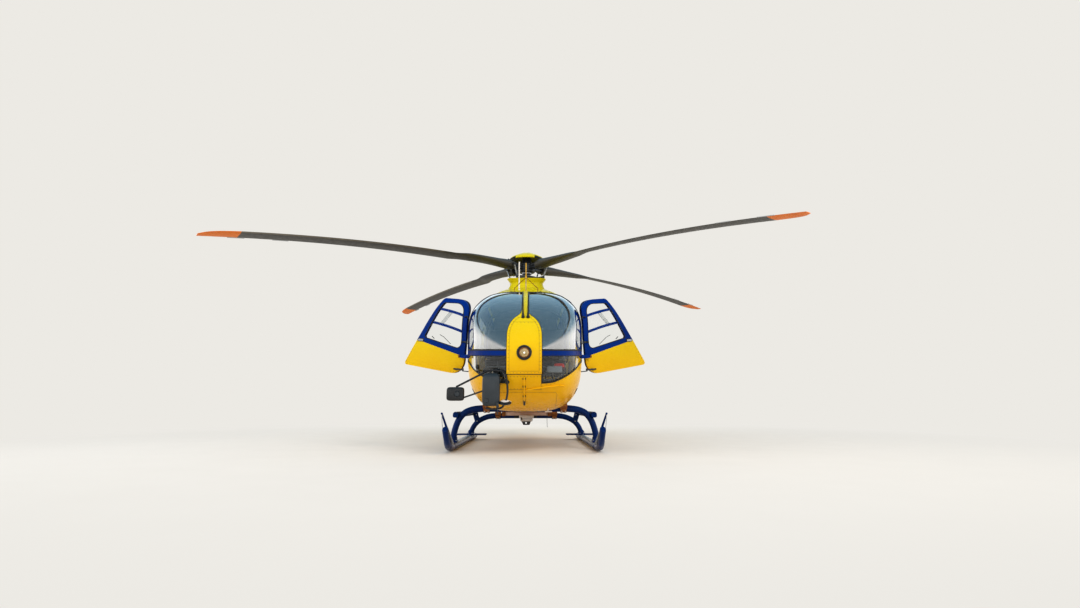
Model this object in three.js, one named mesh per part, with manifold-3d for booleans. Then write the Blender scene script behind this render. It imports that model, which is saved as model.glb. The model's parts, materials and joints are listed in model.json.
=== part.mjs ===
// A light twin-engine rescue helicopter, parked on its skids with both front doors open.
// Millimetres: +X is the aircraft's left, +Y its tail, +Z up from the ground. The sizes below are drawn
// with the rotor head over X 0, Y 0; the last lines move the whole part along Y to its own middle.
import * as THREE from 'three';
import { mergeVertices } from 'three/addons/utils/BufferGeometryUtils.js';
import Module from 'manifold-3d';

const wasm = await Module();
wasm.setup();

// Driving dimensions
const SEAM = 0.3;              // gap between two pieces that touch
const DOOR_GAP = 6;            // gap round a door that moves
const WALL = 45;               // cabin wall and door thickness
const GLASS_OUT = 3;           // depth of a pane's outer face below the skin
const GLASS_IN = 11;           // depth of its inner face

const NOSE_Y = -3140;          // tip of the nose
const REAR_Y = 2730;           // rear end of the cabin pod
const NOSE_Z = 1200;           // height of the nose tip
const REAR_Z = 1620;           // height of the pod's rear end
const POD_HALF_WIDTH = 785;
const POD_TOP = 2320;
const POD_MIDDLE = 1500;       // height at which the pod is widest
const POD_BELLY = 526;

const SILL_Z = 930;            // seam between lower hull and side walls
const EAVE_Z = 2120;           // seam between side walls and roof
const BAND_LOW = 1210;         // belt band across the nose
const BAND_HIGH = 1298;
const PILLAR_Y = -2262;        // seam between cockpit frame and side walls
const REAR_DOOR_Y = 1824;      // rear edge of the side walls, at the clamshell doors
const REAR_DOOR_TOP = 1806;

const HUB_Z = 3132;            // rotor head above the ground
const MAST_TILT = 1.74;        // degrees forward
const ROTOR_RADIUS = 5100;
const FIRST_BLADE = 38.9;      // azimuth of the first blade, degrees from +X
const TIP_DROOP = 343;
const BLADES = 4;

const FAN_Y = 6000;            // tail fan axis
const FAN_Z = 1850;
const DUCT_RADIUS = 505;
const SHROUD_RADIUS = 660;

const SKID_X = 1000;           // half of the skid track
const SKID_RADIUS = 50;
const CROSS_RADIUS = 46;
const FRONT_TUBE_Y = -1780;
const FRONT_TUBE_Z = 565;
const REAR_TUBE_Y = 340;
const REAR_TUBE_Z = 434;

// Colours as in the photo
const paint = (color, roughness, metalness, extra) =>
  new THREE.MeshStandardMaterial({ color, roughness, metalness, ...extra });
const look = {
  yellow: () => paint(0xf4c20d, 0.3, 0),
  blue: () => paint(0x173f8c, 0.3, 0),
  navy: () => paint(0x1d2a44, 0.4, 0.1),
  glass: () => paint(0x9fb2bf, 0.05, 0, { transparent: true, opacity: 0.35 }),
  black: () => paint(0x17181a, 0.6, 0),
  grey: () => paint(0x6a6e72, 0.5, 0.2),
  white: () => paint(0xd9d4cf, 0.4, 0),
  steel: () => paint(0x8d9094, 0.35, 0.9),
  burnt: () => paint(0x6b5d52, 0.45, 0.9),
  blade: () => paint(0x3d4140, 0.5, 0.1),
  fabric: () => paint(0x2b3036, 0.9, 0),
  lamp: () => paint(0xc9b58a, 0.15, 0.6),
};

// Solids from geometries, and back
function signedVolume(points, faces) {
  const [a, b, c] = [new THREE.Vector3(), new THREE.Vector3(), new THREE.Vector3()];
  let sum = 0;
  for (let i = 0; i < faces.length; i += 3) {
    a.fromArray(points, faces[i] * 3);
    b.fromArray(points, faces[i + 1] * 3);
    c.fromArray(points, faces[i + 2] * 3);
    sum += a.dot(b.cross(c));
  }
  return sum;
}

function solidOf(geometry) {
  const bare = geometry.index ? geometry.toNonIndexed() : geometry.clone();
  for (const name of Object.keys(bare.attributes)) {
    if (name !== 'position') bare.deleteAttribute(name);
  }
  const merged = mergeVertices(bare, 1e-3);
  const points = Float32Array.from(merged.attributes.position.array);
  const faces = [];
  for (let i = 0; i < merged.index.count; i += 3) {
    const [a, b, c] = [merged.index.array[i], merged.index.array[i + 1], merged.index.array[i + 2]];
    if (a !== b && b !== c && c !== a) faces.push(a, b, c);
  }
  if (signedVolume(points, faces) < 0) {
    for (let i = 0; i < faces.length; i += 3) [faces[i], faces[i + 1]] = [faces[i + 1], faces[i]];
  }
  return new wasm.Manifold(new wasm.Mesh({
    numProp: 3, vertProperties: points, triVerts: Uint32Array.from(faces) }));
}

function geometryOf(solid) {
  const mesh = solid.getMesh();
  const geometry = new THREE.BufferGeometry();
  geometry.setAttribute('position', new THREE.BufferAttribute(new Float32Array(mesh.vertProperties), 3));
  geometry.setIndex(new THREE.BufferAttribute(new Uint32Array(mesh.triVerts), 1));
  geometry.computeVertexNormals();
  return geometry;
}

const union = (...solids) => solids.reduce((sum, next) => sum.add(next));
const cut = (solid, ...tools) => tools.reduce((rest, tool) => rest.subtract(tool), solid);
const mirrorX = (solid, side) => (side > 0 ? solid : solid.mirror([1, 0, 0]));

// Simple shapes; an outline lies in the plane across its axis: x -> (y, z), y -> (x, z), z -> (x, y)
const AXES = {
  x: [[0, 1, 0], [0, 0, 1], [1, 0, 0]],
  y: [[1, 0, 0], [0, 0, 1], [0, 1, 0]],
  z: [[1, 0, 0], [0, 1, 0], [0, 0, 1]],
};

function plate(outline, axis, from, to) {
  const shape = new THREE.Shape(outline.map(([u, v]) => new THREE.Vector2(u, v)));
  const geometry = new THREE.ExtrudeGeometry(shape, { depth: to - from, bevelEnabled: false, steps: 1 });
  geometry.translate(0, 0, from);
  const [u, v, w] = AXES[axis].map((direction) => new THREE.Vector3(...direction));
  geometry.applyMatrix4(new THREE.Matrix4().makeBasis(u, v, w));
  return solidOf(geometry);
}

function box(x0, x1, y0, y1, z0, z1) {
  const geometry = new THREE.BoxGeometry(x1 - x0, y1 - y0, z1 - z0);
  geometry.translate((x0 + x1) / 2, (y0 + y1) / 2, (z0 + z1) / 2);
  return solidOf(geometry);
}

function rod(from, to, radius, sides = 12, endRadius = radius) {
  const [a, b] = [new THREE.Vector3(...from), new THREE.Vector3(...to)];
  const along = b.clone().sub(a);
  const geometry = new THREE.CylinderGeometry(endRadius, radius, along.length(), sides);
  geometry.translate(0, along.length() / 2, 0);
  geometry.applyQuaternion(new THREE.Quaternion().setFromUnitVectors(
    new THREE.Vector3(0, 1, 0), along.normalize()));
  geometry.translate(...from);
  return solidOf(geometry);
}

const smooth = (points) => new THREE.CatmullRomCurve3(points.map((point) => new THREE.Vector3(...point)));
function tube(path, radius, steps, sides = 8) {
  const circle = Array.from({ length: sides }, (_, k) => {
    const angle = ((k + 0.5) / sides) * 2 * Math.PI;
    const reach = radius / Math.cos(Math.PI / sides);
    return new THREE.Vector2(reach * Math.cos(angle), reach * Math.sin(angle));
  });
  return solidOf(new THREE.ExtrudeGeometry(new THREE.Shape(circle), { extrudePath: path, steps }));
}

function turned(profile, sides) {
  const geometry = new THREE.LatheGeometry(profile.map(([r, h]) => new THREE.Vector2(r, h)), sides);
  geometry.rotateX(Math.PI / 2);
  return solidOf(geometry);
}

function loft(rings) {
  const count = rings[0].length;
  const points = rings.flat();
  const faces = [];
  for (let i = 0; i + 1 < rings.length; i += 1) {
    for (let k = 0; k < count; k += 1) {
      const [a, b] = [i * count + k, i * count + ((k + 1) % count)];
      faces.push(a, b, b + count, a, b + count, a + count);
    }
  }
  for (const start of [0, (rings.length - 1) * count]) {
    const ring = points.slice(start, start + count);
    const centre = [0, 1, 2].map((axis) => ring.reduce((sum, p) => sum + p[axis], 0) / count);
    for (let k = 0; k < count; k += 1) {
      const [a, b] = [start + k, start + ((k + 1) % count)];
      faces.push(points.length, ...(start === 0 ? [b, a] : [a, b]));
    }
    points.push(centre);
  }
  const geometry = new THREE.BufferGeometry();
  geometry.setAttribute('position', new THREE.Float32BufferAttribute(points.flat(), 3));
  geometry.setIndex(faces);
  return solidOf(geometry);
}

// Rounded outline from corners [u, v, radius]
function rounded(corners, steps = 3) {
  return corners.flatMap(([u, v, radius], i) => {
    if (!radius) return [[u, v]];
    const corner = new THREE.Vector2(u, v);
    const last = corners[(i + corners.length - 1) % corners.length];
    const next = corners[(i + 1) % corners.length];
    const back = new THREE.Vector2(last[0], last[1]).sub(corner).normalize();
    const ahead = new THREE.Vector2(next[0], next[1]).sub(corner).normalize();
    const half = Math.acos(back.dot(ahead)) / 2;
    const centre = back.clone().add(ahead).normalize().multiplyScalar(radius / Math.sin(half)).add(corner);
    const start = back.multiplyScalar(radius / Math.tan(half)).add(corner).sub(centre);
    const end = ahead.multiplyScalar(radius / Math.tan(half)).add(corner).sub(centre);
    const turn = Math.atan2(start.cross(end), start.dot(end));
    return Array.from({ length: steps + 1 }, (_, k) => {
      const point = start.clone().rotateAround(new THREE.Vector2(), (turn * k) / steps).add(centre);
      return [point.x, point.y];
    });
  });
}

// Outline moved outwards by a distance, or inwards where it is negative
function grown(outline, distance) {
  const turns = Math.sign(outline.reduce((sum, [u, v], i) => {
    const [nextU, nextV] = outline[(i + 1) % outline.length];
    return sum + u * nextV - nextU * v;
  }, 0));
  const normal = (a, b) => new THREE.Vector2(b[1] - a[1], a[0] - b[0]).normalize().multiplyScalar(turns);
  return outline.map((point, i) => {
    const before = normal(outline[(i + outline.length - 1) % outline.length], point);
    const after = normal(point, outline[(i + 1) % outline.length]);
    const scale = distance / (1 + before.dot(after));
    return [point[0] + (before.x + after.x) * scale, point[1] + (before.y + after.y) * scale];
  });
}

function oval(centreX, centreZ, halfWidth, up, down, power, y, count) {
  return Array.from({ length: count }, (_, k) => {
    const angle = ((k + 0.5) / count) * 2 * Math.PI;
    const [c, s] = [Math.cos(angle), Math.sin(angle)];
    const x = centreX + halfWidth * Math.sign(c) * Math.abs(c) ** (2 / power);
    return [x, y, centreZ + (s > 0 ? up : down) * Math.sign(s) * Math.abs(s) ** (2 / power)];
  });
}

// The cabin pod: a fair body whose width, top and belly each rise from a point at both ends
function rise(distance, length, p, q) {
  const s = Math.min(1, Math.max(0, distance / length));
  return (1 - (1 - s) ** p) ** (1 / q);
}

const POD_POINTS = 24;
const COLLAR_POINTS = 24;
function podRing(y, inset) {
  const front = y - NOSE_Y - inset;
  const rear = REAR_Y - inset - y;
  const ahead = y < 0;
  const tip = ahead ? NOSE_Z : REAR_Z;
  const width = (POD_HALF_WIDTH - inset) * rise(front, 1200, 2.4, 2.6) * rise(rear, 1500, 2.2, 2.4);
  const top = tip + (POD_TOP - inset - tip) * (ahead ? rise(front, 1850, 1.7, 1.7) : rise(rear, 900, 2, 2));
  const middle = tip + (POD_MIDDLE - tip) * (ahead ? rise(front, 1000, 2, 2) : rise(rear, 900, 2, 2));
  const belly = tip - (tip - POD_BELLY - inset)
    * (ahead ? rise(front, 1100, 2.2, 2.2) : rise(rear, 1700, 1.8, 1.9));
  return oval(0, middle, width, top - middle, middle - belly, 3.45, y, POD_POINTS);
}

const FRONT_STEPS = [7, 50, 150, 320, 580, 950, 1480];
const REAR_STEPS = [2730, 1450, 950, 560, 270, 90, 10];
function pod(inset) {
  const half = (REAR_Y - NOSE_Y) / 2;
  const stations = [...FRONT_STEPS.map((d) => NOSE_Y + d), ...REAR_STEPS.map((d) => REAR_Y - d)];
  const middle = (REAR_Y + NOSE_Y) / 2;
  return loft(stations.map((y) => podRing(middle + (y - middle) * ((half - inset) / half), inset)));
}

const outer = pod(0);
const inner = pod(WALL);
const wall = outer.subtract(inner);
const pane = pod(GLASS_OUT).subtract(pod(GLASS_IN));
const outside = pod(-SEAM);

// Outlines seen from the side, [y, z, corner radius]
const frontDoor = rounded([
  [-1215, 1080, 30], [-1774, 2053, 40], [-2200, 2040, 240], [-2222, 1500, 0], [-2210, 1000, 190]]);
// The doorway is wider above and behind the door, whose leaning hinge lifts it as it swings
const frontDoorway = rounded([
  [-1200, 1074, 36], [-1758, 2072, 46], [-2206, 2058, 246], [-2228, 1500, 0], [-2216, 994, 196]]);
const frontDoorWindow = rounded([
  [-1534, 1480, 30], [-1790, 1985, 40], [-2130, 1985, 150], [-2160, 1500, 0], [-2157, 1345, 70]]);
const slidingDoor = rounded([[-1100, 985, 70], [-1655, 2050, 90], [300, 2050, 130], [330, 985, 130]]);
const slidingWindow = rounded([[-1240, 1450, 60], [-1530, 1980, 80], [215, 1980, 100], [215, 1450, 100]]);
const quarterWindow = rounded([[480, 1450, 80], [480, 1980, 100], [1280, 1960, 160], [1400, 1480, 90]]);
const rearDoorWindow = rounded([[-560, 1240, 70], [-560, 1640, 90], [-90, 1660, 70], [-90, 1220, 70]]);
const windshieldSide = [
  [-3400, BAND_HIGH], [-2304, BAND_HIGH], [-2296, 1760], [-2190, 1990], [-2010, 2110], [-1840, 2190],
  [-1820, 2500], [-3400, 2500]];

// Outlines seen from the front, [x, z]
const ARCH_HALF = 210;
const ARCH_TOP = 1740;
const ARCH_SPRING = 1440;
const ARCH_FOOT = 972;
const POST_HALF = 36;
const ARCH_STEPS = 14;
const archOutline = [[-ARCH_HALF, ARCH_FOOT], [ARCH_HALF, ARCH_FOOT],
  ...Array.from({ length: ARCH_STEPS + 1 }, (_, k) => {
    const angle = (k * Math.PI) / ARCH_STEPS;
    return [ARCH_HALF * Math.cos(angle), ARCH_SPRING + (ARCH_TOP - ARCH_SPRING) * Math.sin(angle)];
  })];
const arch = (gap) => union(
  plate(grown(archOutline, gap), 'y', -3400, -1800),
  plate(grown([[-POST_HALF, 1700], [POST_HALF, 1700], [POST_HALF, 2500], [-POST_HALF, 2500]], gap),
    'y', -3400, -1810 + gap));
const chinOutline = [
  [ARCH_HALF + SEAM, BAND_LOW], [ARCH_HALF + SEAM, 866], [370, 886], [500, 948], [630, 1040],
  [715, 1140], [800, BAND_LOW]];

// Nose and cabin skin
const windshieldCut = plate(windshieldSide, 'x', -1000, 1000);
const chinCut = (side, gap) => mirrorX(plate(grown(chinOutline, gap), 'y', -3400, -2310), side);
const archRegion = arch(0);
const LAMP_RADIUS = 70;
const lampHole = rod([0, -3300, 1222], [0, -3000, 1222], LAMP_RADIUS + SEAM, 24);
const fairingSkin = pod(-12).subtract(pod(20));
const noseFairing = cut(fairingSkin.intersect(archRegion), lampHole);
const fairingSeat = arch(SEAM).subtract(pod(20 + SEAM));

const landingLamp = cut(
  rod([0, -3168, 1222], [0, -3118.5, 1222], LAMP_RADIUS, 24),
  rod([0, -3180, 1222], [0, -3136, 1222], 40, 24, 58).mirror([0, 1, 0]).translate([0, -6316, 0]),
  pod(20 + SEAM));

const cockpitFrame = cut(
  wall.intersect(box(-1000, 1000, -3300, PILLAR_Y, BAND_LOW, 2500)),
  windshieldCut, fairingSeat);

const glassGap = cut(pane, arch(SEAM));
const windshield = (side) => mirrorX(
  glassGap.intersect(plate(grown(windshieldSide, -SEAM), 'x', 20, 1000)), side);
const chinWindow = (side) => mirrorX(
  glassGap.intersect(plate(grown(chinOutline, -SEAM), 'y', -3400, -2310 - SEAM)), side);

// The front cross tube lies in a trough across the belly
const TROUGH_HALF = 58;
const TROUGH_TOP = FRONT_TUBE_Z + CROSS_RADIUS + 12;
const TROUGH_WALL = 22;
const trough = (grow, low) => box(
  -700, 700, FRONT_TUBE_Y - TROUGH_HALF - grow, FRONT_TUBE_Y + TROUGH_HALF + grow, low, TROUGH_TOP + grow);
const lowerHull = cut(
  union(
    wall.intersect(union(
      box(-1000, 1000, -3300, PILLAR_Y, 0, BAND_LOW - SEAM),
      box(-1000, 1000, PILLAR_Y - 10, 3000, 0, SILL_Z))),
    outer.intersect(trough(TROUGH_WALL, 0))),
  trough(0, 0),
  box(-1000, 1000, PILLAR_Y - SEAM, 3000, SILL_Z, 3000),
  chinCut(1, 0), chinCut(-1, 0), fairingSeat);

// Tail boom, with sections [y, half width, half height, centre height]
const BOOM = [[2350, 290, 300, 2135], [3300, 238, 252, 2165], [4400, 197, 216, 2190], [5640, 158, 186, 2210]];
const boomBody = (inset, from) => loft(BOOM.map(([y, halfWidth, halfHeight, z], i) =>
  oval(0, z, halfWidth - inset, halfHeight - inset, halfHeight - inset, 2.3, i ? y : from, 14)));

// Ducted fan's shroud: a turned ring, [radius, offset from its middle]
const ROUND = 24;
const fanAxis = (x) => [x, FAN_Y, FAN_Z];
const aboutFanAxis = (solid) => solid.rotate([0, 90, 0]).translate([0, FAN_Y, FAN_Z]);
const RIM = [[575, 165], [632, 118], [SHROUD_RADIUS, 0], [632, -118], [575, -165]];
const SHROUD_PROFILE = [[505, -108], [505, 108], [530, 148], ...RIM, [530, -148], [505, -108]];
const shroudClear = aboutFanAxis(turned(
  [[0, -166], ...RIM.map(([r, x]) => [r + SEAM, x]).reverse(), [0, 166]], ROUND));

// Stabiliser through the boom, sections by [x, leading edge, trailing edge, thickness]
function wing(stations, count, place) {
  return loft(stations.map(([at, lead, trail, thick]) => Array.from({ length: count }, (_, k) => {
    const angle = ((k + 0.5) / count) * 2 * Math.PI;
    const along = (lead + trail) / 2 + ((lead - trail) / 2) * Math.cos(angle);
    const taper = (0.52 + 0.48 * Math.cos(angle)) ** 0.4;
    return place(at, along, 0.5 * thick * Math.sin(angle) * taper);
  })));
}
const STABILISER_Z = 2200;
const stabiliserWing = (grow) => wing(
  [[-1300, 4400, 4880, 58], [0, 4380, 4900, 66], [1300, 4400, 4880, 58]], 12,
  (x, y, z) => [x, y < 4640 ? y - grow : y + grow, STABILISER_Z + z + Math.sign(z) * grow]);
const endPlate = (side) => mirrorX(plate(
  rounded([[4330, 1760, 60], [4870, 1740, 90], [5010, 2700, 60], [4700, 2720, 120]]),
  'x', 1300 + SEAM, 1330), side);
const tailBoom = cut(
  boomBody(0, 2350), boomBody(16, 2300).intersect(box(-900, 900, 2000, 5400, 0, 4000)),
  stabiliserWing(SEAM), shroudClear);
const boomClear = boomBody(-SEAM, 2350 - SEAM);

// Shroud with the tail bumper, stator, fan
const bumper = plate(
  rounded([[5760, 1230, 0], [6420, 1230, 0], [6520, 1075, 30], [6480, 1020, 25], [6120, 1075, 60]]),
  'x', -26, 26);
const fanShroud = union(
  aboutFanAxis(turned(SHROUD_PROFILE, ROUND)),
  cut(bumper, rod(fanAxis(-400), fanAxis(400), DUCT_RADIUS + 60, ROUND)));

const STATOR_X = 70;
const STATOR_VANES = 9;
const FAN_X = -28;
const FAN_BLADES = 10;
function spoke(x, width, thick, from, to, pitch, azimuth) {
  return box(-width / 2, width / 2, -thick / 2, thick / 2, from, to)
    .rotate([0, 0, pitch]).rotate([azimuth, 0, 0]).translate(fanAxis(x));
}
const turns = (count) => Array.from({ length: count }, (_, k) => (360 * k) / count);
const fanStator = union(
  rod(fanAxis(FAN_X + 32 + SEAM), fanAxis(STATOR_X), 32, 12),
  rod(fanAxis(STATOR_X - 30), fanAxis(STATOR_X + 45), 128, 12, 110),
  ...turns(STATOR_VANES).map((angle) => spoke(STATOR_X, 60, 12, 90, 520, 10, angle)))
  .intersect(rod(fanAxis(-300), fanAxis(300), DUCT_RADIUS - SEAM, ROUND));
const tailFan = union(
  rod(fanAxis(FAN_X - 30), fanAxis(FAN_X + 32), 120, 12, 134),
  rod(fanAxis(FAN_X - 62), fanAxis(FAN_X - 20), 50, 12, 112),
  ...turns(FAN_BLADES).map((angle) => spoke(FAN_X, 88, 11, 90, 492, 35, angle)))
  .intersect(rod(fanAxis(-300), fanAxis(300), DUCT_RADIUS - 12, ROUND));

// Fin above the shroud, sections by [z, leading edge, trailing edge, thickness]
const fin = cut(
  wing([[2290, 5470, 6700, 190], [2620, 5720, 6770, 160], [3000, 6010, 6870, 118],
    [3420, 6340, 6995, 80], [3500, 6440, 7055, 50]], 12, (z, y, x) => [x, y, z]),
  shroudClear, boomClear, rod(fanAxis(-400), fanAxis(400), SHROUD_RADIUS - 40, ROUND));

// Mast fairing: a waisted collar with a sharp lip, sections by [half width, half length, height]
const COLLAR_TOP = 2780;
const COLLAR_OUT = [
  [368, 478, 2480], [350, 462, 2548], [318, 425, 2590], [290, 386, 2690], [285, 382, 2724],
  [336, 425, COLLAR_TOP - 8], [336, 425, COLLAR_TOP]];
const COLLAR_IN = [
  [336, 446, 2470], [322, 434, 2540], [292, 399, 2586], [266, 362, 2690], [262, 359, 2726],
  [314, 403, COLLAR_TOP + 6]];
const collarRing = ([halfWidth, halfLength, z], grow) => oval(
  0, 0, halfWidth + grow, halfLength + grow, halfLength + grow, 5, z, COLLAR_POINTS)
  .map(([x, level, along]) => [x, along, level]);
const collarLoft = (rows, grow) => loft(rows.map((row) => collarRing(row, grow)));
const collar = collarLoft(COLLAR_OUT, 0).subtract(collarLoft(COLLAR_IN, 0));
const collarFill = collarLoft(COLLAR_OUT, SEAM);

// Engine cowling on the roof, sections by [y, half width, top, bottom, open below]
const COWLING = [
  [-1300, 100, 2335, 2150, 1], [-1120, 320, 2390, 2100, 1], [-800, 500, 2502, 2050, 1],
  [-400, 600, 2602, 2000, 1], [0, 640, 2652, 2000, 1], [500, 660, 2700, 2000, 1],
  [1100, 665, 2740, 2000, 1], [1700, 620, 2730, 2000, 1], [2200, 480, 2630, 2080, 0],
  [2600, 350, 2510, 2060, 0], [2960, 292, 2432, 2080, 0]];
const COWLING_WALL = 30;
const COWLING_POINTS = 16;
const cowlingOut = loft(COWLING.map(([y, halfWidth, top, bottom]) =>
  oval(0, 2300, halfWidth, top - 2300, 2300 - bottom, 2.7, y, COWLING_POINTS)));
const cowlingIn = loft(COWLING.slice(1, -1).map(([y, halfWidth, top, bottom, open]) =>
  oval(0, 2300, halfWidth - COWLING_WALL, top - COWLING_WALL - 2300,
    2300 - bottom + (open ? 200 : -COWLING_WALL), 2.7, y, COWLING_POINTS)));
const EXHAUST_FROM = [252, 1662, 2510];
const EXHAUST_TO = [420, 2520, 2610];
const exhaustRod = (radius, side) => mirrorX(rod(EXHAUST_FROM, EXHAUST_TO, radius, 14), side);
const exhaustBore = (side) => {
  const along = new THREE.Vector3(...EXHAUST_TO).sub(new THREE.Vector3(...EXHAUST_FROM)).setLength(50);
  const from = new THREE.Vector3(...EXHAUST_FROM).sub(along).toArray();
  const to = new THREE.Vector3(...EXHAUST_TO).add(along).toArray();
  return mirrorX(rod(from, to, 104, 14), side);
};
const cowling = cut(
  cowlingOut, cowlingIn, outside, collarFill, boomClear,
  exhaustRod(116 + SEAM, 1), exhaustRod(116 + SEAM, -1));

const enginesAndGearbox = cut(union(
  box(80, 400, 740, 1600, POD_TOP - 60, 2575),
  box(-400, -80, 740, 1600, POD_TOP - 60, 2575),
  box(-230, 230, -300, 340, POD_TOP - 60, 2440),
  box(-260, -120, 300, 800, 2350, 2420),
  box(120, 260, 300, 800, 2350, 2420),
  box(-120, 120, 900, 1100, 2340, 2420)), outside);

// Roof and side walls
const roofOutline = [
  [PILLAR_Y, EAVE_Z + SEAM], [REAR_DOOR_Y + SEAM, EAVE_Z + SEAM], [REAR_DOOR_Y + SEAM, REAR_DOOR_TOP],
  [3000, REAR_DOOR_TOP], [3000, 2600], [PILLAR_Y, 2600]];
const cabinRoof = cut(
  wall.intersect(plate(roofOutline, 'x', -1000, 1000)), windshieldCut, fairingSeat, boomClear);

// A door hinge: its axis runs through a point, leaning in the plane across Y
const FRONT_HINGE = { point: [800, -2250, 1350], lean: Math.atan2(-70, 600) };
const REAR_HINGE = { point: [762, 1820, 1350], lean: 0 };
function hingePlaced(solid, hinge) {
  return solid.rotate([0, THREE.MathUtils.radToDeg(hinge.lean), 0]).translate(hinge.point);
}
// Rows are [height along the axis, reach from the axis to the skin, strap from, strap to]; the strap's
// leg runs in to the door between those distances from the axis, and turns; lug and pin stay
const HINGE_PIN = 5;
const HINGE_KNUCKLE = 10;
const FRONT_HINGES = { ...FRONT_HINGE, rows: [[-285, 118, 118, 150], [90, 60, 44, 80]], lugFrom: -11 };
const REAR_HINGES = { ...REAR_HINGE, rows: [[-330, 88, 18, 80], [270, 52, 18, 80]], lugFrom: -40 };
function hingeLugs(hinge) {
  return hinge.rows.map(([h, reach]) => hingePlaced(union(
    rod([0, 0, h - 12], [0, 0, h], HINGE_KNUCKLE, 8),
    rod([0, 0, h - 6], [0, 0, h + 20], HINGE_PIN, 8),
    box(-reach, 0, hinge.lugFrom, 0, h - 12, h)), hinge));
}
function hingeStraps(hinge) {
  return hinge.rows.map(([h, reach, from, to]) => hingePlaced(cut(union(
    rod([0, 0, h + SEAM], [0, 0, h + 22], HINGE_KNUCKLE, 8),
    box(-8, 8, 0, to, h + SEAM, h + 22),
    box(-reach + 8, 8, from, to, h + SEAM, h + 22)),
    rod([0, 0, h - 1], [0, 0, h + 30], HINGE_PIN + 2 * SEAM, 8)), hinge));
}

const sideWall = (side) => mirrorX(cut(
  union(
    cut(wall.intersect(plate([
      [PILLAR_Y + SEAM, SILL_Z + SEAM], [REAR_DOOR_Y, SILL_Z + SEAM], [REAR_DOOR_Y, EAVE_Z],
      [PILLAR_Y + SEAM, EAVE_Z]], 'x', 20, 1000)),
    plate(frontDoorway, 'x', 20, 1000), windshieldCut),
    ...hingeLugs(FRONT_HINGES), ...hingeLugs(REAR_HINGES)),
  plate(slidingDoor, 'x', 20, 1000), plate(quarterWindow, 'x', 20, 1000),
  box(0, 1000, -3000, PILLAR_Y + SEAM, 0, 3000)), side);
const sidePane = (outline, side) => mirrorX(
  pane.intersect(plate(grown(outline, -SEAM), 'x', 20, 1000)), side);
const slidingDoorPanel = (side) => mirrorX(cut(
  wall.intersect(plate(grown(slidingDoor, -SEAM), 'x', 20, 1000)),
  plate(slidingWindow, 'x', 20, 1000)), side);

// Front doors, drawn shut; bars cross the window behind the glass
const bar = (from, to, width) => {
  const across = new THREE.Vector2(to[0] - from[0], to[1] - from[1]).normalize().multiplyScalar(width / 2);
  return [[from[0] - across.y, from[1] + across.x], [to[0] - across.y, to[1] + across.x],
    [to[0] + across.y, to[1] - across.x], [from[0] + across.y, from[1] - across.x]];
};
const barSkin = pod(GLASS_IN + SEAM).subtract(pod(32));
const frontDoorBars = union(
  plate(bar([-1690, 1898], [-2155, 1805], 22), 'x', 20, 1000),
  plate(bar([-1590, 1708], [-2180, 1578], 22), 'x', 20, 1000)).intersect(barSkin);
const frontDoorPanel = (side) => mirrorX(union(
  cut(wall.intersect(plate(frontDoor, 'x', 20, 1000)), plate(frontDoorWindow, 'x', 20, 1000)),
  frontDoorBars.intersect(plate(grown(frontDoorWindow, 10), 'x', 20, 1000)),
  ...hingeStraps(FRONT_HINGES)), side);

// Rear clamshell doors, drawn shut, with the window seen from behind, [x, z]
const rearDoorPanel = (side) => mirrorX(union(
  cut(wall.intersect(box(4, 1000, REAR_DOOR_Y + DOOR_GAP, 3000, SILL_Z + 10, REAR_DOOR_TOP - DOOR_GAP)),
    plate(rearDoorWindow.map(([x, z]) => [-x, z]), 'y', 2300, 3000)),
  ...hingeStraps(REAR_HINGES)), side);
const rearDoorPane = (side) => mirrorX(
  pane.intersect(plate(grown(rearDoorWindow.map(([x, z]) => [-x, z]), -SEAM), 'y', 2300, 3000)), side);

// Inside the cabin
const roomInside = pod(WALL + SEAM);
const FLOOR_TOP = 925;
const cabinFloor = roomInside.intersect(box(-1000, 1000, -2850, REAR_DOOR_Y - 20, 890, FLOOR_TOP));
const instrumentPanel = union(
  plate(rounded([[-2640, 1180, 20], [-2700, 1330, 40], [-2420, 1440, 40], [-2350, 1400, 15],
    [-2420, 1180, 20]], 3), 'x', -440, 440),
  box(-140, 140, -2600, -2420, FLOOR_TOP + SEAM, 1200),
  plate([[-2500, 1080], [-1980, 1010], [-1980, FLOOR_TOP + SEAM], [-2500, FLOOR_TOP + SEAM]],
    'x', -140, 140));
function seat(x, y, halfWidth) {
  return union(
    plate(rounded([[y - 470, 1150, 30], [y - 470, 1265, 45], [y, 1235, 10], [y, 1150, 10]], 3),
      'x', x - halfWidth, x + halfWidth),
    plate(rounded([[y - 60, 1170, 10], [y - 30, 1760, 40], [y + 60, 1770, 30], [y + 45, 1150, 10]], 3),
      'x', x - halfWidth, x + halfWidth),
    plate(rounded([[y - 5, 1700, 10], [y - 8, 1930, 35], [y + 62, 1930, 30], [y + 50, 1700, 10]], 3),
      'x', x - 120, x + 120),
    box(x - halfWidth + 60, x + halfWidth - 60, y - 400, y - 40, FLOOR_TOP + SEAM, 1160));
}
const rearSeats = union(seat(0, 900, 655), seat(-440, 900, 120), seat(440, 900, 120));

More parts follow.
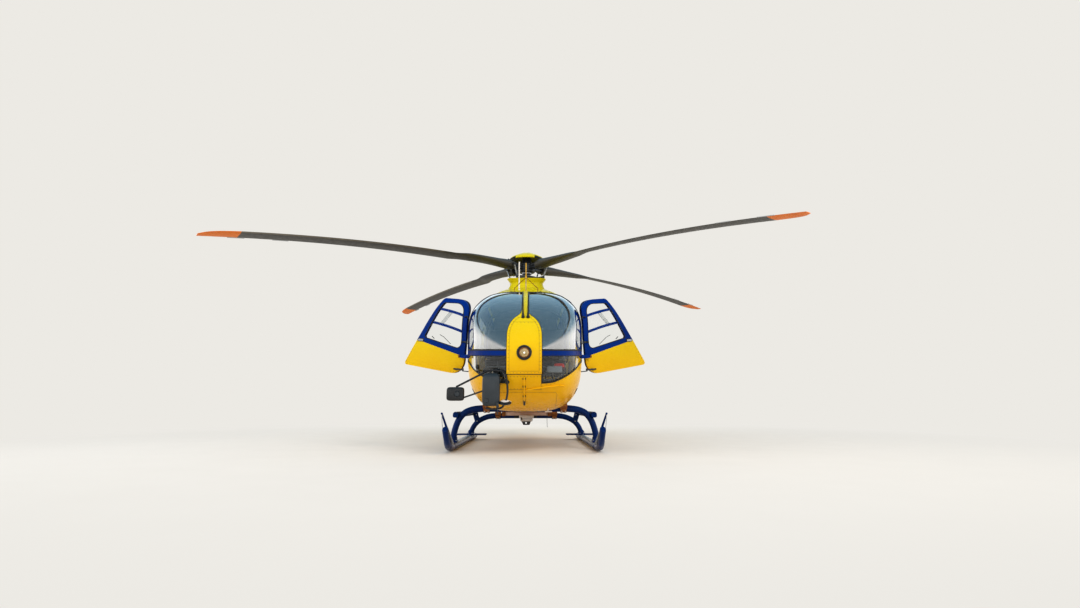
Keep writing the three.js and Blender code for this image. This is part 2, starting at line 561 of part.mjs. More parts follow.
// Skid gear
const arc = (points, y) => [
  ...points.map(([x, z]) => [x, y, z]), ...points.slice(0, -1).reverse().map(([x, z]) => [-x, y, z])];
const FRONT_ARCH = [
  [1000, 112], [985, 250], [935, 398], [858, 496], [755, 545], [620, 563], [500, FRONT_TUBE_Z],
  [0, FRONT_TUBE_Z]];
const REAR_ARCH = [
  [985, 112], [940, 235], [850, 338], [720, 404], [590, 430], [450, REAR_TUBE_Z], [0, REAR_TUBE_Z]];
const CLAMP_HALF = 100;
const CLAMP_TOP = 700;
function crossTube(points, y, clampX) {
  const body = (radius) => tube(smooth(arc(points, y)), radius, 20);
  const footX = points[0][0];
  const foot = (side) => box(side * footX - 62, side * footX + 62, y - 75, y + 75, 100 + SEAM, 128);
  const clamp = (side) => box(side * clampX - 50, side * clampX + 50, y - CLAMP_HALF, y + CLAMP_HALF,
    points.at(-1)[1] - 58, CLAMP_TOP);
  return {
    body,
    whole: union(body(CROSS_RADIUS), foot(1), foot(-1), cut(union(clamp(1), clamp(-1)), outside)),
  };
}
const frontTube = crossTube(FRONT_ARCH, FRONT_TUBE_Y, 540);
const rearTube = crossTube(REAR_ARCH, REAR_TUBE_Y, 500);
const SKID_REAR = 1180;
const SKID_BEND = [[-1900, 50], [-2250, 50], [-2480, 130], [-2620, 312]];
function skid(side) {
  const x = side * SKID_X;
  const bend = SKID_BEND.map(([y, z]) => new THREE.Vector3(x, y, z));
  const path = new THREE.CurvePath();
  path.add(new THREE.LineCurve3(new THREE.Vector3(x, SKID_REAR, SKID_RADIUS), bend[0]));
  path.add(new THREE.CubicBezierCurve3(...bend));
  const runner = tube(path, SKID_RADIUS, 24);
  const apex = [x + side * 50, -2600, 505];
  return union(runner, box(x - 270, x + 270, 560, 740, 86, 108),
    rod([x + side * 36, -2608, 290], apex, 10, 6), rod([x - side * 32, -2270, 88], apex, 12, 6));
}
const STEP_LOW = 440;
const STEP_TOP = 515;
function step(side) {
  const board = box(925, 1005, -1870, 430, STEP_LOW, STEP_TOP);
  const frontArm = box(860, 940, FRONT_TUBE_Y - 30, FRONT_TUBE_Y + 30, STEP_LOW + 20, STEP_TOP);
  const rearArm = box(820, 940, REAR_TUBE_Y - 30, REAR_TUBE_Y + 30, 330, STEP_TOP);
  return mirrorX(cut(union(board, frontArm, rearArm), frontTube.body(CROSS_RADIUS + SEAM),
    rearTube.body(CROSS_RADIUS + SEAM), box(0, 700, -3000, 3000, 0, 1000)), side);
}

// Cargo hook below the belly, on its beam
const HOOK_Y = -100;
const cargoHook = cut(union(
  box(-410, 430, HOOK_Y - 40, HOOK_Y + 40, 440, 508),
  box(-410, -350, HOOK_Y - 55, HOOK_Y + 55, 432, 560),
  box(370, 430, HOOK_Y - 55, HOOK_Y + 55, 432, 560),
  box(-118, 132, HOOK_Y - 110, HOOK_Y + 110, 345, 452),
  box(-70, 84, HOOK_Y - 60, HOOK_Y + 60, 285, 350)), outside);

// Mirrors on a tube frame at the aircraft's right of the nose, [x, z] in its plane
const MIRROR_Y = -3090;
const MIRROR_TUBE = [[-803, 820], [-645, 900], [-483, 984], [-427, 1012], [-285, 1010], [-227, 980],
  [-199, 850], [-197, 740], [-217, 650], [-265, 578], [-365, 562], [-447, 572]];
const mirrorFrame = cut(union(
  tube(smooth(MIRROR_TUBE.map(([x, z]) => [x, MIRROR_Y, z])), 13, 22, 6),
  box(-497, -285, MIRROR_Y - 40, MIRROR_Y + 25, 596, 982),
  box(-914, -706, MIRROR_Y - 45, MIRROR_Y + 10, 657, 817),
  rod([-725, MIRROR_Y, 690], [-465, MIRROR_Y, 780], 10, 8),
  rod([-205, MIRROR_Y, 880], [-205, -2900, 880], 13, 8),
  rod([-445, MIRROR_Y, 602], [-365, -2700, 650], 12, 8),
  rod([-525, MIRROR_Y, 955], [-585, -2690, 1080], 10, 8)), outside);

// Rotor, drawn about its own axis; the blades cone up from the hub and then droop to their tips
const HEAD_Z = -62;
const CONE = 0.038;
const ROOT = 330;
const PITCH = { root: 9, rate: 6 / 3290, cuff: 1560 };
function bladeHeight(r) {
  const fall = TIP_DROOP + HEAD_Z + CONE * (ROTOR_RADIUS - ROOT);
  return HEAD_Z + CONE * (r - ROOT) - (fall * (r * r - ROOT * ROOT)) / (ROTOR_RADIUS ** 2 - ROOT * ROOT);
}
function bladePitch(r) {
  const degrees = r < PITCH.cuff
    ? PITCH.root * THREE.MathUtils.smoothstep(r, 500, PITCH.cuff)
    : PITCH.root - PITCH.rate * (r - PITCH.cuff);
  return THREE.MathUtils.degToRad(degrees);
}
// Sections by [radius, leading edge, trailing edge, thickness]
const CUFF = [
  [ROOT, 95, -95, 148], [480, 118, -116, 162], [650, 132, -128, 138], [900, 150, -138, 108],
  [1250, 132, -150, 82]];
const AEROFOIL = [[1560, 72, -217, 40], [2400, 72, -217, 38], [3200, 72, -217, 36], [3950, 72, -217, 34],
  [4600, 72, -217, 30], [4850, 52, -217, 26], [5000, 5, -217, 20], [5100, -95, -217, 12]];
function bladeRing([r, lead, trail, thick], taperPower) {
  const count = 12;
  return Array.from({ length: count }, (_, k) => {
    const angle = ((k + 0.5) / count) * 2 * Math.PI;
    const across = (lead + trail) / 2 + ((lead - trail) / 2) * Math.cos(angle);
    const taper = (0.55 + 0.45 * Math.cos(angle)) ** taperPower;
    const up = 0.5 * thick * Math.sin(angle) * taper;
    const [cos, sin] = [Math.cos(bladePitch(r)), Math.sin(bladePitch(r))];
    return [r, across * cos - up * sin, bladeHeight(r) + across * sin + up * cos];
  });
}
const HORN = { r: 390, out: 150 };
const blade = union(
  loft([...CUFF.map((row) => bladeRing(row, 0)), ...AEROFOIL.map((row) => bladeRing(row, 0.4))]),
  box(HORN.r - 22, HORN.r + 22, 40, HORN.out + 18, HEAD_Z - 20, HEAD_Z + 16));
const bladeAzimuth = (k) => FIRST_BLADE + (360 * k) / BLADES;
const rotorHub = union(
  rod([0, 0, HEAD_Z - 95], [0, 0, HEAD_Z + 58], 150, 16),
  rod([0, 0, HEAD_Z + 50], [0, 0, 140], 92, 16, 70),
  ...turns(BLADES).map((angle) => box(60, ROOT - SEAM, -46, 46, HEAD_Z - 40, HEAD_Z + 40)
    .rotate([0, 0, angle + FIRST_BLADE])));
const rotorCap = turned([
  [0, 140 + SEAM], [80, 140 + SEAM], [160, 140], [250, 116], [310, 80], [322, 84], [304, 122], [232, 166],
  [120, 193], [0, 202]], 16);
const links = turns(BLADES).map((angle) => union(
  rod([315, 125, -270], [HORN.r, HORN.out, HEAD_Z - 20 - SEAM], 13, 8),
  box(150, 335, 100, 150, -298, -250)).rotate([0, 0, angle + FIRST_BLADE]));
const rotorMast = cut(union(
  rod([0, 0, -690], [0, 0, HEAD_Z - 95 - SEAM], 68, 14),
  rod([0, 0, -300], [0, 0, -244], 190, 16),
  ...links), box(-600, 600, -600, 600, HEAD_Z - 20 - SEAM, 100));

// The scene graph
const helicopter = new THREE.Group();
function add(parent, name, solid, material) {
  const mesh = new THREE.Mesh(geometryOf(solid), material);
  mesh.name = name;
  parent.add(mesh);
  return mesh;
}
const SIDES = [['left', 1], ['right', -1]];

add(helicopter, 'cockpit_frame', cockpitFrame, look.blue());
add(helicopter, 'nose_fairing', noseFairing, look.yellow());
add(helicopter, 'landing_lamp', landingLamp, look.lamp());
add(helicopter, 'lower_hull', lowerHull, look.yellow());
add(helicopter, 'cabin_roof', cabinRoof, look.yellow());
add(helicopter, 'cowling', cowling, look.yellow());
add(helicopter, 'mast_fairing', collar, look.yellow());
add(helicopter, 'engines_and_gearbox', enginesAndGearbox, look.steel());
add(helicopter, 'tail_boom', tailBoom, look.yellow());
add(helicopter, 'fan_shroud', fanShroud, look.yellow());
add(helicopter, 'fan_stator', fanStator, look.grey());
add(helicopter, 'tail_fan', tailFan, look.grey());
add(helicopter, 'fin', fin, look.yellow());
add(helicopter, 'stabiliser', stabiliserWing(0), look.yellow());
add(helicopter, 'cabin_floor', cabinFloor, look.grey());
add(helicopter, 'instrument_panel', instrumentPanel, look.black());
add(helicopter, 'rear_seats', rearSeats, look.fabric());
add(helicopter, 'cross_tube_front', frontTube.whole, look.navy());
add(helicopter, 'cross_tube_rear', rearTube.whole, look.navy());
add(helicopter, 'cargo_hook', cargoHook, look.white());
add(helicopter, 'mirror_frame', mirrorFrame, look.black());

for (const [name, side] of SIDES) {
  add(helicopter, `windshield_${name}`, windshield(side), look.glass());
  add(helicopter, `chin_window_${name}`, chinWindow(side), look.glass());
  add(helicopter, `side_wall_${name}`, sideWall(side), look.blue());
  add(helicopter, `quarter_window_${name}`, sidePane(quarterWindow, side), look.glass());
  add(helicopter, `sliding_door_${name}`, slidingDoorPanel(side), look.yellow());
  add(helicopter, `sliding_door_glass_${name}`, sidePane(slidingWindow, side), look.glass());
  add(helicopter, `rear_door_${name}`, rearDoorPanel(side), look.yellow());
  add(helicopter, `rear_door_glass_${name}`, rearDoorPane(side), look.glass());
  add(helicopter, `exhaust_${name}`, exhaustRod(116, side).subtract(exhaustBore(side)), look.burnt());
  add(helicopter, `end_plate_${name}`, endPlate(side), look.yellow());
  add(helicopter, `front_seat_${name}`, seat(side * 385, -1330, 225), look.fabric());
  add(helicopter, `skid_${name}`, skid(side), look.navy());
  add(helicopter, `step_${name}`, step(side), look.navy());
}

// The front doors stand open, turned about their hinges
const DOOR_OPEN = 65;
for (const [name, side] of SIDES) {
  const [x, y, z] = FRONT_HINGE.point;
  const axis = new THREE.Vector3(side * Math.sin(FRONT_HINGE.lean), 0, Math.cos(FRONT_HINGE.lean));
  const door = new THREE.Group();
  door.position.set(side * x, y, z);
  door.quaternion.setFromAxisAngle(axis, THREE.MathUtils.degToRad(-side * DOOR_OPEN));
  const panel = add(door, `front_door_${name}`, frontDoorPanel(side), look.blue());
  const glass = add(door, `front_door_glass_${name}`, sidePane(frontDoorWindow, side), look.glass());
  panel.position.set(-side * x, -y, -z);
  glass.position.copy(panel.position);
  helicopter.add(door);
}

// The rotor leans forward a little
const rotor = new THREE.Group();
rotor.position.set(0, 0, HUB_Z);
rotor.rotation.x = THREE.MathUtils.degToRad(MAST_TILT);
add(rotor, 'rotor_mast', rotorMast, look.steel());
add(rotor, 'rotor_hub', rotorHub, look.black());
add(rotor, 'rotor_cap', rotorCap, look.yellow());
for (let k = 0; k < BLADES; k += 1) {
  const mesh = add(rotor, `rotor_blade_${k + 1}`, blade, look.blade());
  mesh.rotation.z = THREE.MathUtils.degToRad(bladeAzimuth(k));
}
helicopter.add(rotor);

// Centre the whole part along Y
helicopter.updateMatrixWorld(true);
const extent = new THREE.Box3().setFromObject(helicopter, true);
helicopter.position.y = -(extent.min.y + extent.max.y) / 2;

export default helicopter;
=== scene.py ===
"""Looks of a light twin-engine rescue helicopter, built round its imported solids.

Metres: +X is the aircraft's left, +Y its tail, +Z up. Shapes are drawn with the rotor mast over Y 0,
as the solids' source draws them, and put() moves each finished piece to the frame's own Y.
"""

import json
import math

import bmesh
import bpy
import numpy as np
from mathutils import Matrix, Vector


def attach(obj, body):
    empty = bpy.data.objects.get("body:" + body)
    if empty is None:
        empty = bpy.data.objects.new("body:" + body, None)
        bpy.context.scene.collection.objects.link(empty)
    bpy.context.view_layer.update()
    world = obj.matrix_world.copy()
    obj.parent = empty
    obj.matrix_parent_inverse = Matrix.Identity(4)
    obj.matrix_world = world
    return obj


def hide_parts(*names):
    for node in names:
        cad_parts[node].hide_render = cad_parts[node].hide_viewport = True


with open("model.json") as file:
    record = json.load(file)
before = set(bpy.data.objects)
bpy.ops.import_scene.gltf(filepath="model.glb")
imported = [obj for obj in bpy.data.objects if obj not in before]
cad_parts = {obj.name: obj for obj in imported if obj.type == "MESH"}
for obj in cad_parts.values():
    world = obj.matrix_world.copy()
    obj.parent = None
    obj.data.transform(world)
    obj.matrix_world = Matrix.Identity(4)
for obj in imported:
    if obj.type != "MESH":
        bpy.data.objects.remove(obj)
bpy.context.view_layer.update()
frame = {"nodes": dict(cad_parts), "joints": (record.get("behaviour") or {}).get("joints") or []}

JOINTS = {joint["name"]: joint for joint in frame["joints"]}
SHIFT = JOINTS["main_rotor_spin"]["pos_m"][1]
SIDES = (("left", 1), ("right", -1))

# The cabin pod's driving sizes
NOSE_Y, REAR_Y = -3.14, 2.73
NOSE_Z, REAR_Z = 1.2, 1.62
HALF_WIDTH = 0.785
POD_TOP = 2.32
POD_MIDDLE = 1.5
BELLY = 0.526
ROUNDNESS = 3.45
WALL = 0.045
GLASS_OUT, GLASS_IN = 0.003, 0.011
SILL_Z, EAVE_Z = 0.93, 2.12
BAND_LOW, BAND_HIGH = 1.190, 1.253
PILLAR_Y = -2.262
REAR_DOOR_Y = 1.824
REAR_DOOR_TOP = 1.806
DOOR_GAP = 0.006
# Gaps beside a cut, and a joint line's height over the skin, depth in it and width
TOUCH = 0.0003
ARCH_GAP = 0.001 / 3
PANE_GAP = 0.0004
SEAM_PROUD, SEAM_DEPTH, SEAM_WIDTH = 0.0007, 0.003, 0.003
FLOOR_TOP = 0.925

# Rotor, fan and gear
HUB_Z = JOINTS["main_rotor_spin"]["pos_m"][2]
MAST_TILT = math.radians(1.74)
ROTOR_RADIUS = 5.1
ROOT_RADIUS = 0.33
TIP_DROOP = 0.343
FIRST_BLADE = 38.9
BLADES = 4
BLADE_STEP = 90
FAN_Y, FAN_Z = 6.0, JOINTS["tail_fan_spin"]["pos_m"][2]
DUCT_RADIUS, SHROUD_RADIUS = 0.505, 0.66
SKID_X, SKID_RADIUS = 1.0, 0.05
FRONT_TUBE_Y, REAR_TUBE_Y = -1.78, 0.34
FRONT_TUBE_Z, REAR_TUBE_Z = 0.565, 0.434
CROSS_RADIUS = 0.046


# Mesh helpers
def linked(name, mesh):
    made = bpy.data.objects.new(name, mesh)
    bpy.context.scene.collection.objects.link(made)
    return made


def from_faces(name, verts, faces):
    mesh = bpy.data.meshes.new(name)
    mesh.from_pydata(np.asarray(verts, float).tolist(), [], faces)
    work = bmesh.new()
    work.from_mesh(mesh)
    bmesh.ops.remove_doubles(work, verts=work.verts, dist=1e-6)
    bmesh.ops.recalc_face_normals(work, faces=work.faces)
    work.to_mesh(mesh)
    work.free()
    return linked(name, mesh)


def ring_faces(rows, count):
    faces = []
    for i in range(rows - 1):
        for k in range(count):
            a, b = i * count + k, i * count + (k + 1) % count
            faces.append((a, b, b + count, a + count))
    faces.append(tuple(range(count)))
    faces.append(tuple(range((rows - 1) * count, rows * count)))
    return faces


def loft(name, rings):
    rings = np.array(rings)
    return from_faces(name, rings.reshape(-1, 3), ring_faces(*rings.shape[:2]))


AXES = {
    "x": ((0, 1, 0), (0, 0, 1), (1, 0, 0)),
    "y": ((1, 0, 0), (0, 0, 1), (0, 1, 0)),
    "z": ((1, 0, 0), (0, 1, 0), (0, 0, 1)),
}


def prism(outline, axis, start, end):
    """An outline drawn across an axis, x -> (y, z), y -> (x, z), z -> (x, y), made solid along it."""
    u, v, w = (np.array(direction, float) for direction in AXES[axis])
    flat = [a * u + b * v for a, b in outline]
    return loft("tool", [[point + w * start for point in flat], [point + w * end for point in flat]])


def box(low, high, bevel=0.003):
    corners = [(x, y, z) for x in (low[0], high[0]) for y in (low[1], high[1]) for z in (low[2], high[2])]
    faces = [(0, 1, 3, 2), (4, 5, 7, 6), (0, 1, 5, 4), (2, 3, 7, 6), (0, 2, 6, 4), (1, 3, 7, 5)]
    made = from_faces("block", corners, faces)
    if bevel:
        work = bmesh.new()
        work.from_mesh(made.data)
        bmesh.ops.bevel(work, geom=work.edges, offset=bevel, segments=3, profile=0.5, affect="EDGES")
        work.to_mesh(made.data)
        work.free()
    return made


def spline(points, per=8):
    """A smooth line through the points."""
    p = np.array(points, float)
    ends = np.vstack([2 * p[0] - p[1], p, 2 * p[-1] - p[-2]])
    t = np.arange(per)[:, None] / per
    rows = [
        0.5 * (2 * b + (c - a) * t + (2 * a - 5 * b + 4 * c - d) * t**2 + (3 * b - a - 3 * c + d) * t**3)
        for a, b, c, d in zip(ends, ends[1:], ends[2:], ends[3:])
    ]
    return np.vstack(rows + [p[-1:]])


def tube(points, radius, sides=14, flat=1.0):
    """A round bar along the points, with eased ends; flat squeezes it along its second axis."""
    p = np.array(points, float)
    radius = np.array(np.broadcast_to(radius, len(p)), float)
    along = np.gradient(p, axis=0)
    along /= np.linalg.norm(along, axis=1)[:, None]
    side = np.cross(along[0], np.eye(3)[np.argmin(np.abs(along[0]))])
    angle = np.arange(sides) / sides * 2 * math.pi
    rings = []
    for i, (point, ahead) in enumerate(zip(p, along)):
        side = side - ahead * side.dot(ahead)
        side /= np.linalg.norm(side)
        up = np.cross(ahead, side)
        circle = np.cos(angle)[:, None] * side + flat * np.sin(angle)[:, None] * up
        if i == 0:
            rings.append(point - ahead * radius[0] * 0.18 + circle * radius[0] * 0.8)
        rings.append(point + circle * radius[i])
        if i == len(p) - 1:
            rings.append(point + ahead * radius[-1] * 0.18 + circle * radius[-1] * 0.8)
    return loft("tube", rings)


def lathe(profile, sides=64, matrix=None):
    """A profile of (radius, height) turned about Z; it starts and ends on the axis or closes on itself."""
    angle = np.arange(sides) / sides * 2 * math.pi
    rings = [np.stack([r * np.cos(angle), r * np.sin(angle), np.full(sides, h)], axis=1) for r, h in profile]
    closed = profile[0] == profile[-1]
    rings = rings[:-1] if closed else rings
    rows = len(rings)
    faces = []
    for i in range(rows if closed else rows - 1):
        j = (i + 1) % rows
        for k in range(sides):
            m = (k + 1) % sides
            faces.append((i * sides + k, i * sides + m, j * sides + m, j * sides + k))
    made = from_faces("turned", np.vstack(rings), faces)
    return made if matrix is None else moved(made, matrix)


def moved(made, matrix):
    """Moves a piece, or each piece of a list."""
    for piece in made if isinstance(made, list) else [made]:
        piece.data.transform(matrix)
    return made


def standing(point, normal):
    """The matrix that stands a part made on Z 0 at a point, with its Z along the normal."""
    return Matrix.Translation(point) @ Vector(normal).to_track_quat("Z", "Y").to_matrix().to_4x4()


def towards(start, end):
    """The matrix that turns Z to run from start to end, and moves to start."""
    return standing(start, Vector(end) - Vector(start))


def turned(degrees, axis="Z"):
    return Matrix.Rotation(math.radians(degrees), 4, axis)


def placed(at, degrees=0.0, axis="Z"):
    """The matrix that turns a part about an axis and then moves it to a place."""
    return Matrix.Translation(at) @ turned(degrees, axis)


def rod(start, end, radius, sides=20, bevel=0.15):
    length = (Vector(end) - Vector(start)).length
    ease = min(radius * bevel, length * 0.3)
    profile = [(0, 0), (radius - ease, 0), (radius, ease), (radius, length - ease), (radius - ease, length),
               (0, length)]
    return lathe(profile, sides, towards(start, end))


def copied(source):
    return linked(source.name, source.data.copy())


def mirrored(source, side):
    """A copy for side 1, or its mirror image across X for side -1."""
    made = copied(source)
    if side < 0:
        made.data.transform(Matrix.Scale(-1, 4, (1, 0, 0)))
        made.data.flip_normals()
    return made


def removed(*objects):
    for gone in objects:
        bpy.data.objects.remove(gone)


def merged(name, pieces):
    """One mesh of several pieces, which are then gone."""
    work = bmesh.new()
    for piece in pieces:
        work.from_mesh(piece.data)
    mesh = bpy.data.meshes.new(name)
    work.to_mesh(mesh)
    work.free()
    removed(*pieces)
    return linked(name, mesh)


def repeated(name, pattern, matrices):
    """One mesh with a copy of the pattern at each matrix."""
    work = bmesh.new()
    for matrix in matrices:
        mesh = pattern.data.copy()
        mesh.transform(matrix)
        work.from_mesh(mesh)
        bpy.data.meshes.remove(mesh)
    mesh = bpy.data.meshes.new(name)
    work.to_mesh(mesh)
    work.free()
    removed(pattern)
    return linked(name, mesh)


def combined(base, operation, tools):
    """Cuts, meets or fuses the base with the tools, which are then gone."""
    for tool in tools:
        modifier = base.modifiers.new("boolean", "BOOLEAN")
        modifier.operation = operation
        modifier.solver = "MANIFOLD"
        modifier.object = tool
    graph = bpy.context.evaluated_depsgraph_get()
    mesh = bpy.data.meshes.new_from_object(base.evaluated_get(graph))
    base.modifiers.clear()
    base.data = mesh
    if not mesh.polygons:
        raise ValueError(f"nothing is left of {base.name} after {operation}")
    removed(*tools)
    return base


def cut(base, *tools):
    return combined(base, "DIFFERENCE", tools)


def meet(base, *tools):
    return combined(base, "INTERSECT", tools)


def fuse(base, *tools):
    return combined(base, "UNION", tools)


# Outlines
def rectangle(u0, v0, u1, v1):
    return [(u0, v0), (u1, v0), (u1, v1), (u0, v1)]


def rounded(corners, steps=9):
    """Rounded outline from corners (u, v, radius)."""
    outline = []
    for i, (u, v, radius) in enumerate(corners):
        if not radius:
            outline.append((u, v))
            continue
        corner = np.array((u, v))
        back = np.array(corners[i - 1][:2]) - corner
        ahead = np.array(corners[(i + 1) % len(corners)][:2]) - corner
        back, ahead = back / np.linalg.norm(back), ahead / np.linalg.norm(ahead)
        half = math.acos(np.clip(back @ ahead, -1, 1)) / 2
        middle = (back + ahead) / np.linalg.norm(back + ahead)
        centre = corner + middle * radius / math.sin(half)
        start = corner + back * radius / math.tan(half) - centre
        end = corner + ahead * radius / math.tan(half) - centre
        turn = math.atan2(start[0] * end[1] - start[1] * end[0], start @ end)
        for k in range(steps + 1):
            c, s = math.cos(turn * k / steps), math.sin(turn * k / steps)
            outline.append((centre[0] + c * start[0] - s * start[1], centre[1] + s * start[0] + c * start[1]))
    return outline


def grown(outline, distance):
    """The outline moved outwards by a distance, or inwards where it is negative."""
    points = np.array(outline)
    after = np.roll(points, -1, axis=0) - points
    turns = np.sign((points[:, 0] * np.roll(points, -1, axis=0)[:, 1]
                     - points[:, 1] * np.roll(points, -1, axis=0)[:, 0]).sum())
    normal = np.stack([after[:, 1], -after[:, 0]], axis=1) * turns
    normal /= np.linalg.norm(normal, axis=1)[:, None]
    before = np.roll(normal, 1, axis=0)
    scale = distance / (1 + (before * normal).sum(axis=1))
    return [tuple(p) for p in points + (before + normal) * scale[:, None]]


def oval(centre_x, centre_z, half, up, down, power, y, count=96):
    """A section across Y: an ellipse for power 2, and squarer above that."""
    angle = (np.arange(count) + 0.5) / count * 2 * math.pi
    c, s = np.cos(angle), np.sin(angle)
    reach = (np.abs(c) ** power + np.abs(s) ** power) ** (-1 / power)
    x = centre_x + half * reach * c
    z = centre_z + np.where(s > 0, up, down) * reach * s
    return np.stack([x, np.full(count, y), z], axis=1)


def faired(rows, count):
    """Rows (station, value, ...) filled in to an even count of stations without overshoot."""
    rows = np.array(rows, float)
    x = rows[:, 0]
    step = np.diff(x)
    rate = np.diff(rows, axis=0) / step[:, None]
    slope = np.zeros_like(rows)
    product = rate[:-1] * rate[1:]
    total = rate[:-1] + rate[1:]
    slope[1:-1] = np.where(product > 0, 2 * product / np.where(np.abs(total) < 1e-9, 1, total), 0)
    slope[0], slope[-1] = rate[0], rate[-1]
    at = np.linspace(x[0], x[-1], count)
    i = np.clip(np.searchsorted(x, at) - 1, 0, len(x) - 2)
    t, h = ((at - x[i]) / step[i])[:, None], step[i][:, None]
    return ((2 * t**3 - 3 * t**2 + 1) * rows[i] + (t**3 - 2 * t**2 + t) * h * slope[i]
            + (3 * t**2 - 2 * t**3) * rows[i + 1] + (t**3 - t**2) * h * slope[i + 1])


# The cabin pod: a fair body whose width, top and belly each rise from a point at both ends
def rise(distance, length, p, q):
    s = np.clip(distance / length, 0, 1)
    return (1 - (1 - s) ** p) ** (1 / q)


def pod_section(y, inset=0.0):
    """Half width, top, height of the widest place and belly at a station."""
    front, rear = y - NOSE_Y - inset, REAR_Y - inset - y
    width = (HALF_WIDTH - inset) * rise(front, 1.2, 2.4, 2.6) * rise(rear, 1.5, 2.2, 2.4)
    if y < 0:
        top = NOSE_Z + (POD_TOP - inset - NOSE_Z) * rise(front, 1.85, 1.7, 1.7)
        middle = NOSE_Z + (POD_MIDDLE - NOSE_Z) * rise(front, 1.0, 2, 2)
        belly = NOSE_Z - (NOSE_Z - BELLY - inset) * rise(front, 1.1, 2.2, 2.2)
    else:
        top = REAR_Z + (POD_TOP - inset - REAR_Z) * rise(rear, 0.9, 2, 2)
        middle = REAR_Z + (POD_MIDDLE - REAR_Z) * rise(rear, 0.9, 2, 2)
        belly = REAR_Z - (REAR_Z - BELLY - inset) * rise(rear, 1.7, 1.8, 1.9)
    return width, top, middle, belly


STATIONS = np.concatenate([
    NOSE_Y - NOSE_Y * np.linspace(0.012, 1, 110) ** 2,
    (REAR_Y - REAR_Y * np.linspace(0.015, 1, 64)[:-1] ** 2)[::-1]])
POD_COUNT = 144
POD_SHELLS = {}


def pod_body(inset):
    half, middle = (REAR_Y - NOSE_Y) / 2, (REAR_Y + NOSE_Y) / 2
    rings = []
    for y in middle + (STATIONS - middle) * (half - inset) / half:
        width, top, centre, belly = pod_section(y, inset)
        rings.append(oval(0, centre, width, top - centre, centre - belly, ROUNDNESS, y, POD_COUNT))
    return loft("pod", rings)


def shell(outer, inner=None):
    """The pod's skin between two insets, or the whole body inside one."""
    if (outer, inner) not in POD_SHELLS:
        made = pod_body(outer)
        if inner is not None:
            core = pod_body(inner)
            core.data.flip_normals()
            made = merged("pod", [made, core])
        POD_SHELLS[outer, inner] = made
    return copied(POD_SHELLS[outer, inner])


def skin(outer, inner, *tools):
    """The part of the pod's skin that lies inside all the tools."""
    return meet(shell(outer, inner), *tools)


def side_point(y, z, side=1, inset=0.0):
    width, top, middle, belly = pod_section(y, inset)
    height = top - middle if z > middle else middle - belly
    x = width * max(0, 1 - (abs(z - middle) / height) ** ROUNDNESS) ** (1 / ROUNDNESS)
    return Vector((side * x, y, z))


def skin_level(x, y, z, inset=0.0):
    """1 on the pod's skin, less inside it and more outside."""
    width, top, middle, belly = pod_section(y, inset)
    height = top - middle if z > middle else middle - belly
    return (abs(x) / width) ** ROUNDNESS + (abs(z - middle) / height) ** ROUNDNESS


def strike(start, direction, inset=0.0, reach=2.0):
    """Where a ray from outside first meets the pod's skin."""
    start, direction = Vector(start), Vector(direction).normalized()
    low, high = 0.0, reach
    for _ in range(22):
        middle = (low + high) / 2
        point = start + direction * middle
        if NOSE_Y + inset < point.y < REAR_Y - inset and skin_level(*point, inset) < 1:
            high = middle
        else:
            low = middle
    return start + direction * high


def front_point(x, z, inset=0.0):
    return strike((x, NOSE_Y - 0.05, z), (0, 1, 0), inset)


def roof_point(x, y):
    return strike((x, y, 3.0), (0, 0, -1))


def belly_point(x, y, inset=0.0):
    return strike((x, y, 0.0), (0, 0, 1), inset)


def pod_normal(point, step=1e-3):
    """The pod's outward direction near a point."""
    slope = []
    for axis in range(3):
        levels = []
        for way in (step, -step):
            near = Vector(point)
            near[axis] += way
            y = min(REAR_Y - 1e-4, max(NOSE_Y + 1e-4, near.y))
            levels.append(skin_level(near.x, y, near.z))
        slope.append(levels[0] - levels[1])
    return Vector(slope).normalized()


def on_skin(point):
    """The matrix that stands a part on the pod."""
    return standing(point, pod_normal(point))


# Materials
def node(tree, kind, *sources, **values):
    """A new node: sources feed its first inputs in turn, and values set inputs and properties by name."""
    made = tree.nodes.new(kind)
    for key, value in values.items():
        if key in made.inputs:
            made.inputs[key].default_value = value
        else:
            setattr(made, key, value)
    for socket, source in zip(made.inputs, sources):
        tree.links.new(source, socket)
    return made


def object_place(tree):
    return node(tree, "ShaderNodeTexCoord").outputs["Object"]


def noise(tree, scale, detail=4.0, roughness=0.5, stretch=None):
    """Noise in the object's own metres, with so many features to the metre."""
    place = object_place(tree)
    if stretch:
        place = node(tree, "ShaderNodeMapping", place, Scale=stretch).outputs[0]
    made = node(tree, "ShaderNodeTexNoise", place, Scale=scale, Detail=detail, Roughness=roughness)
    return made.outputs["Fac"]


def ranged(tree, value, low, high, to_low=0.0, to_high=1.0):
    made = node(tree, "ShaderNodeMapRange", value)
    for slot, number in zip((1, 2, 3, 4), (low, high, to_low, to_high)):
        made.inputs[slot].default_value = number
    return made.outputs[0]


def blended(tree, factor, first, second):
    """A mix of two colours or sockets."""
    made = node(tree, "ShaderNodeMix", factor, data_type="RGBA")
    for slot, value in ((6, first), (7, second)):
        if isinstance(value, tuple):
            made.inputs[slot].default_value = (*value, 1)
        else:
            tree.links.new(value, made.inputs[slot])
    return made.outputs[2]


def height_of(tree, place):
    return node(tree, "ShaderNodeSeparateXYZ", place).outputs[2]


def either(tree, first, second):
    return node(tree, "ShaderNodeMath", first, second, operation="MAXIMUM").outputs[0]


def mixed(tree, factor, first, second):
    return node(tree, "ShaderNodeMixShader", factor, first, second).outputs[0]


def principled(name, **values):
    """A new material, its tree and its shader, with the shader's plain values set."""
    material = bpy.data.materials.new(name)
    material.use_nodes = True
    shader = material.node_tree.nodes["Principled BSDF"]
    for key, value in values.items():
        shader.inputs[key.replace("_", " ")].default_value = value
    return material, material.node_tree, shader


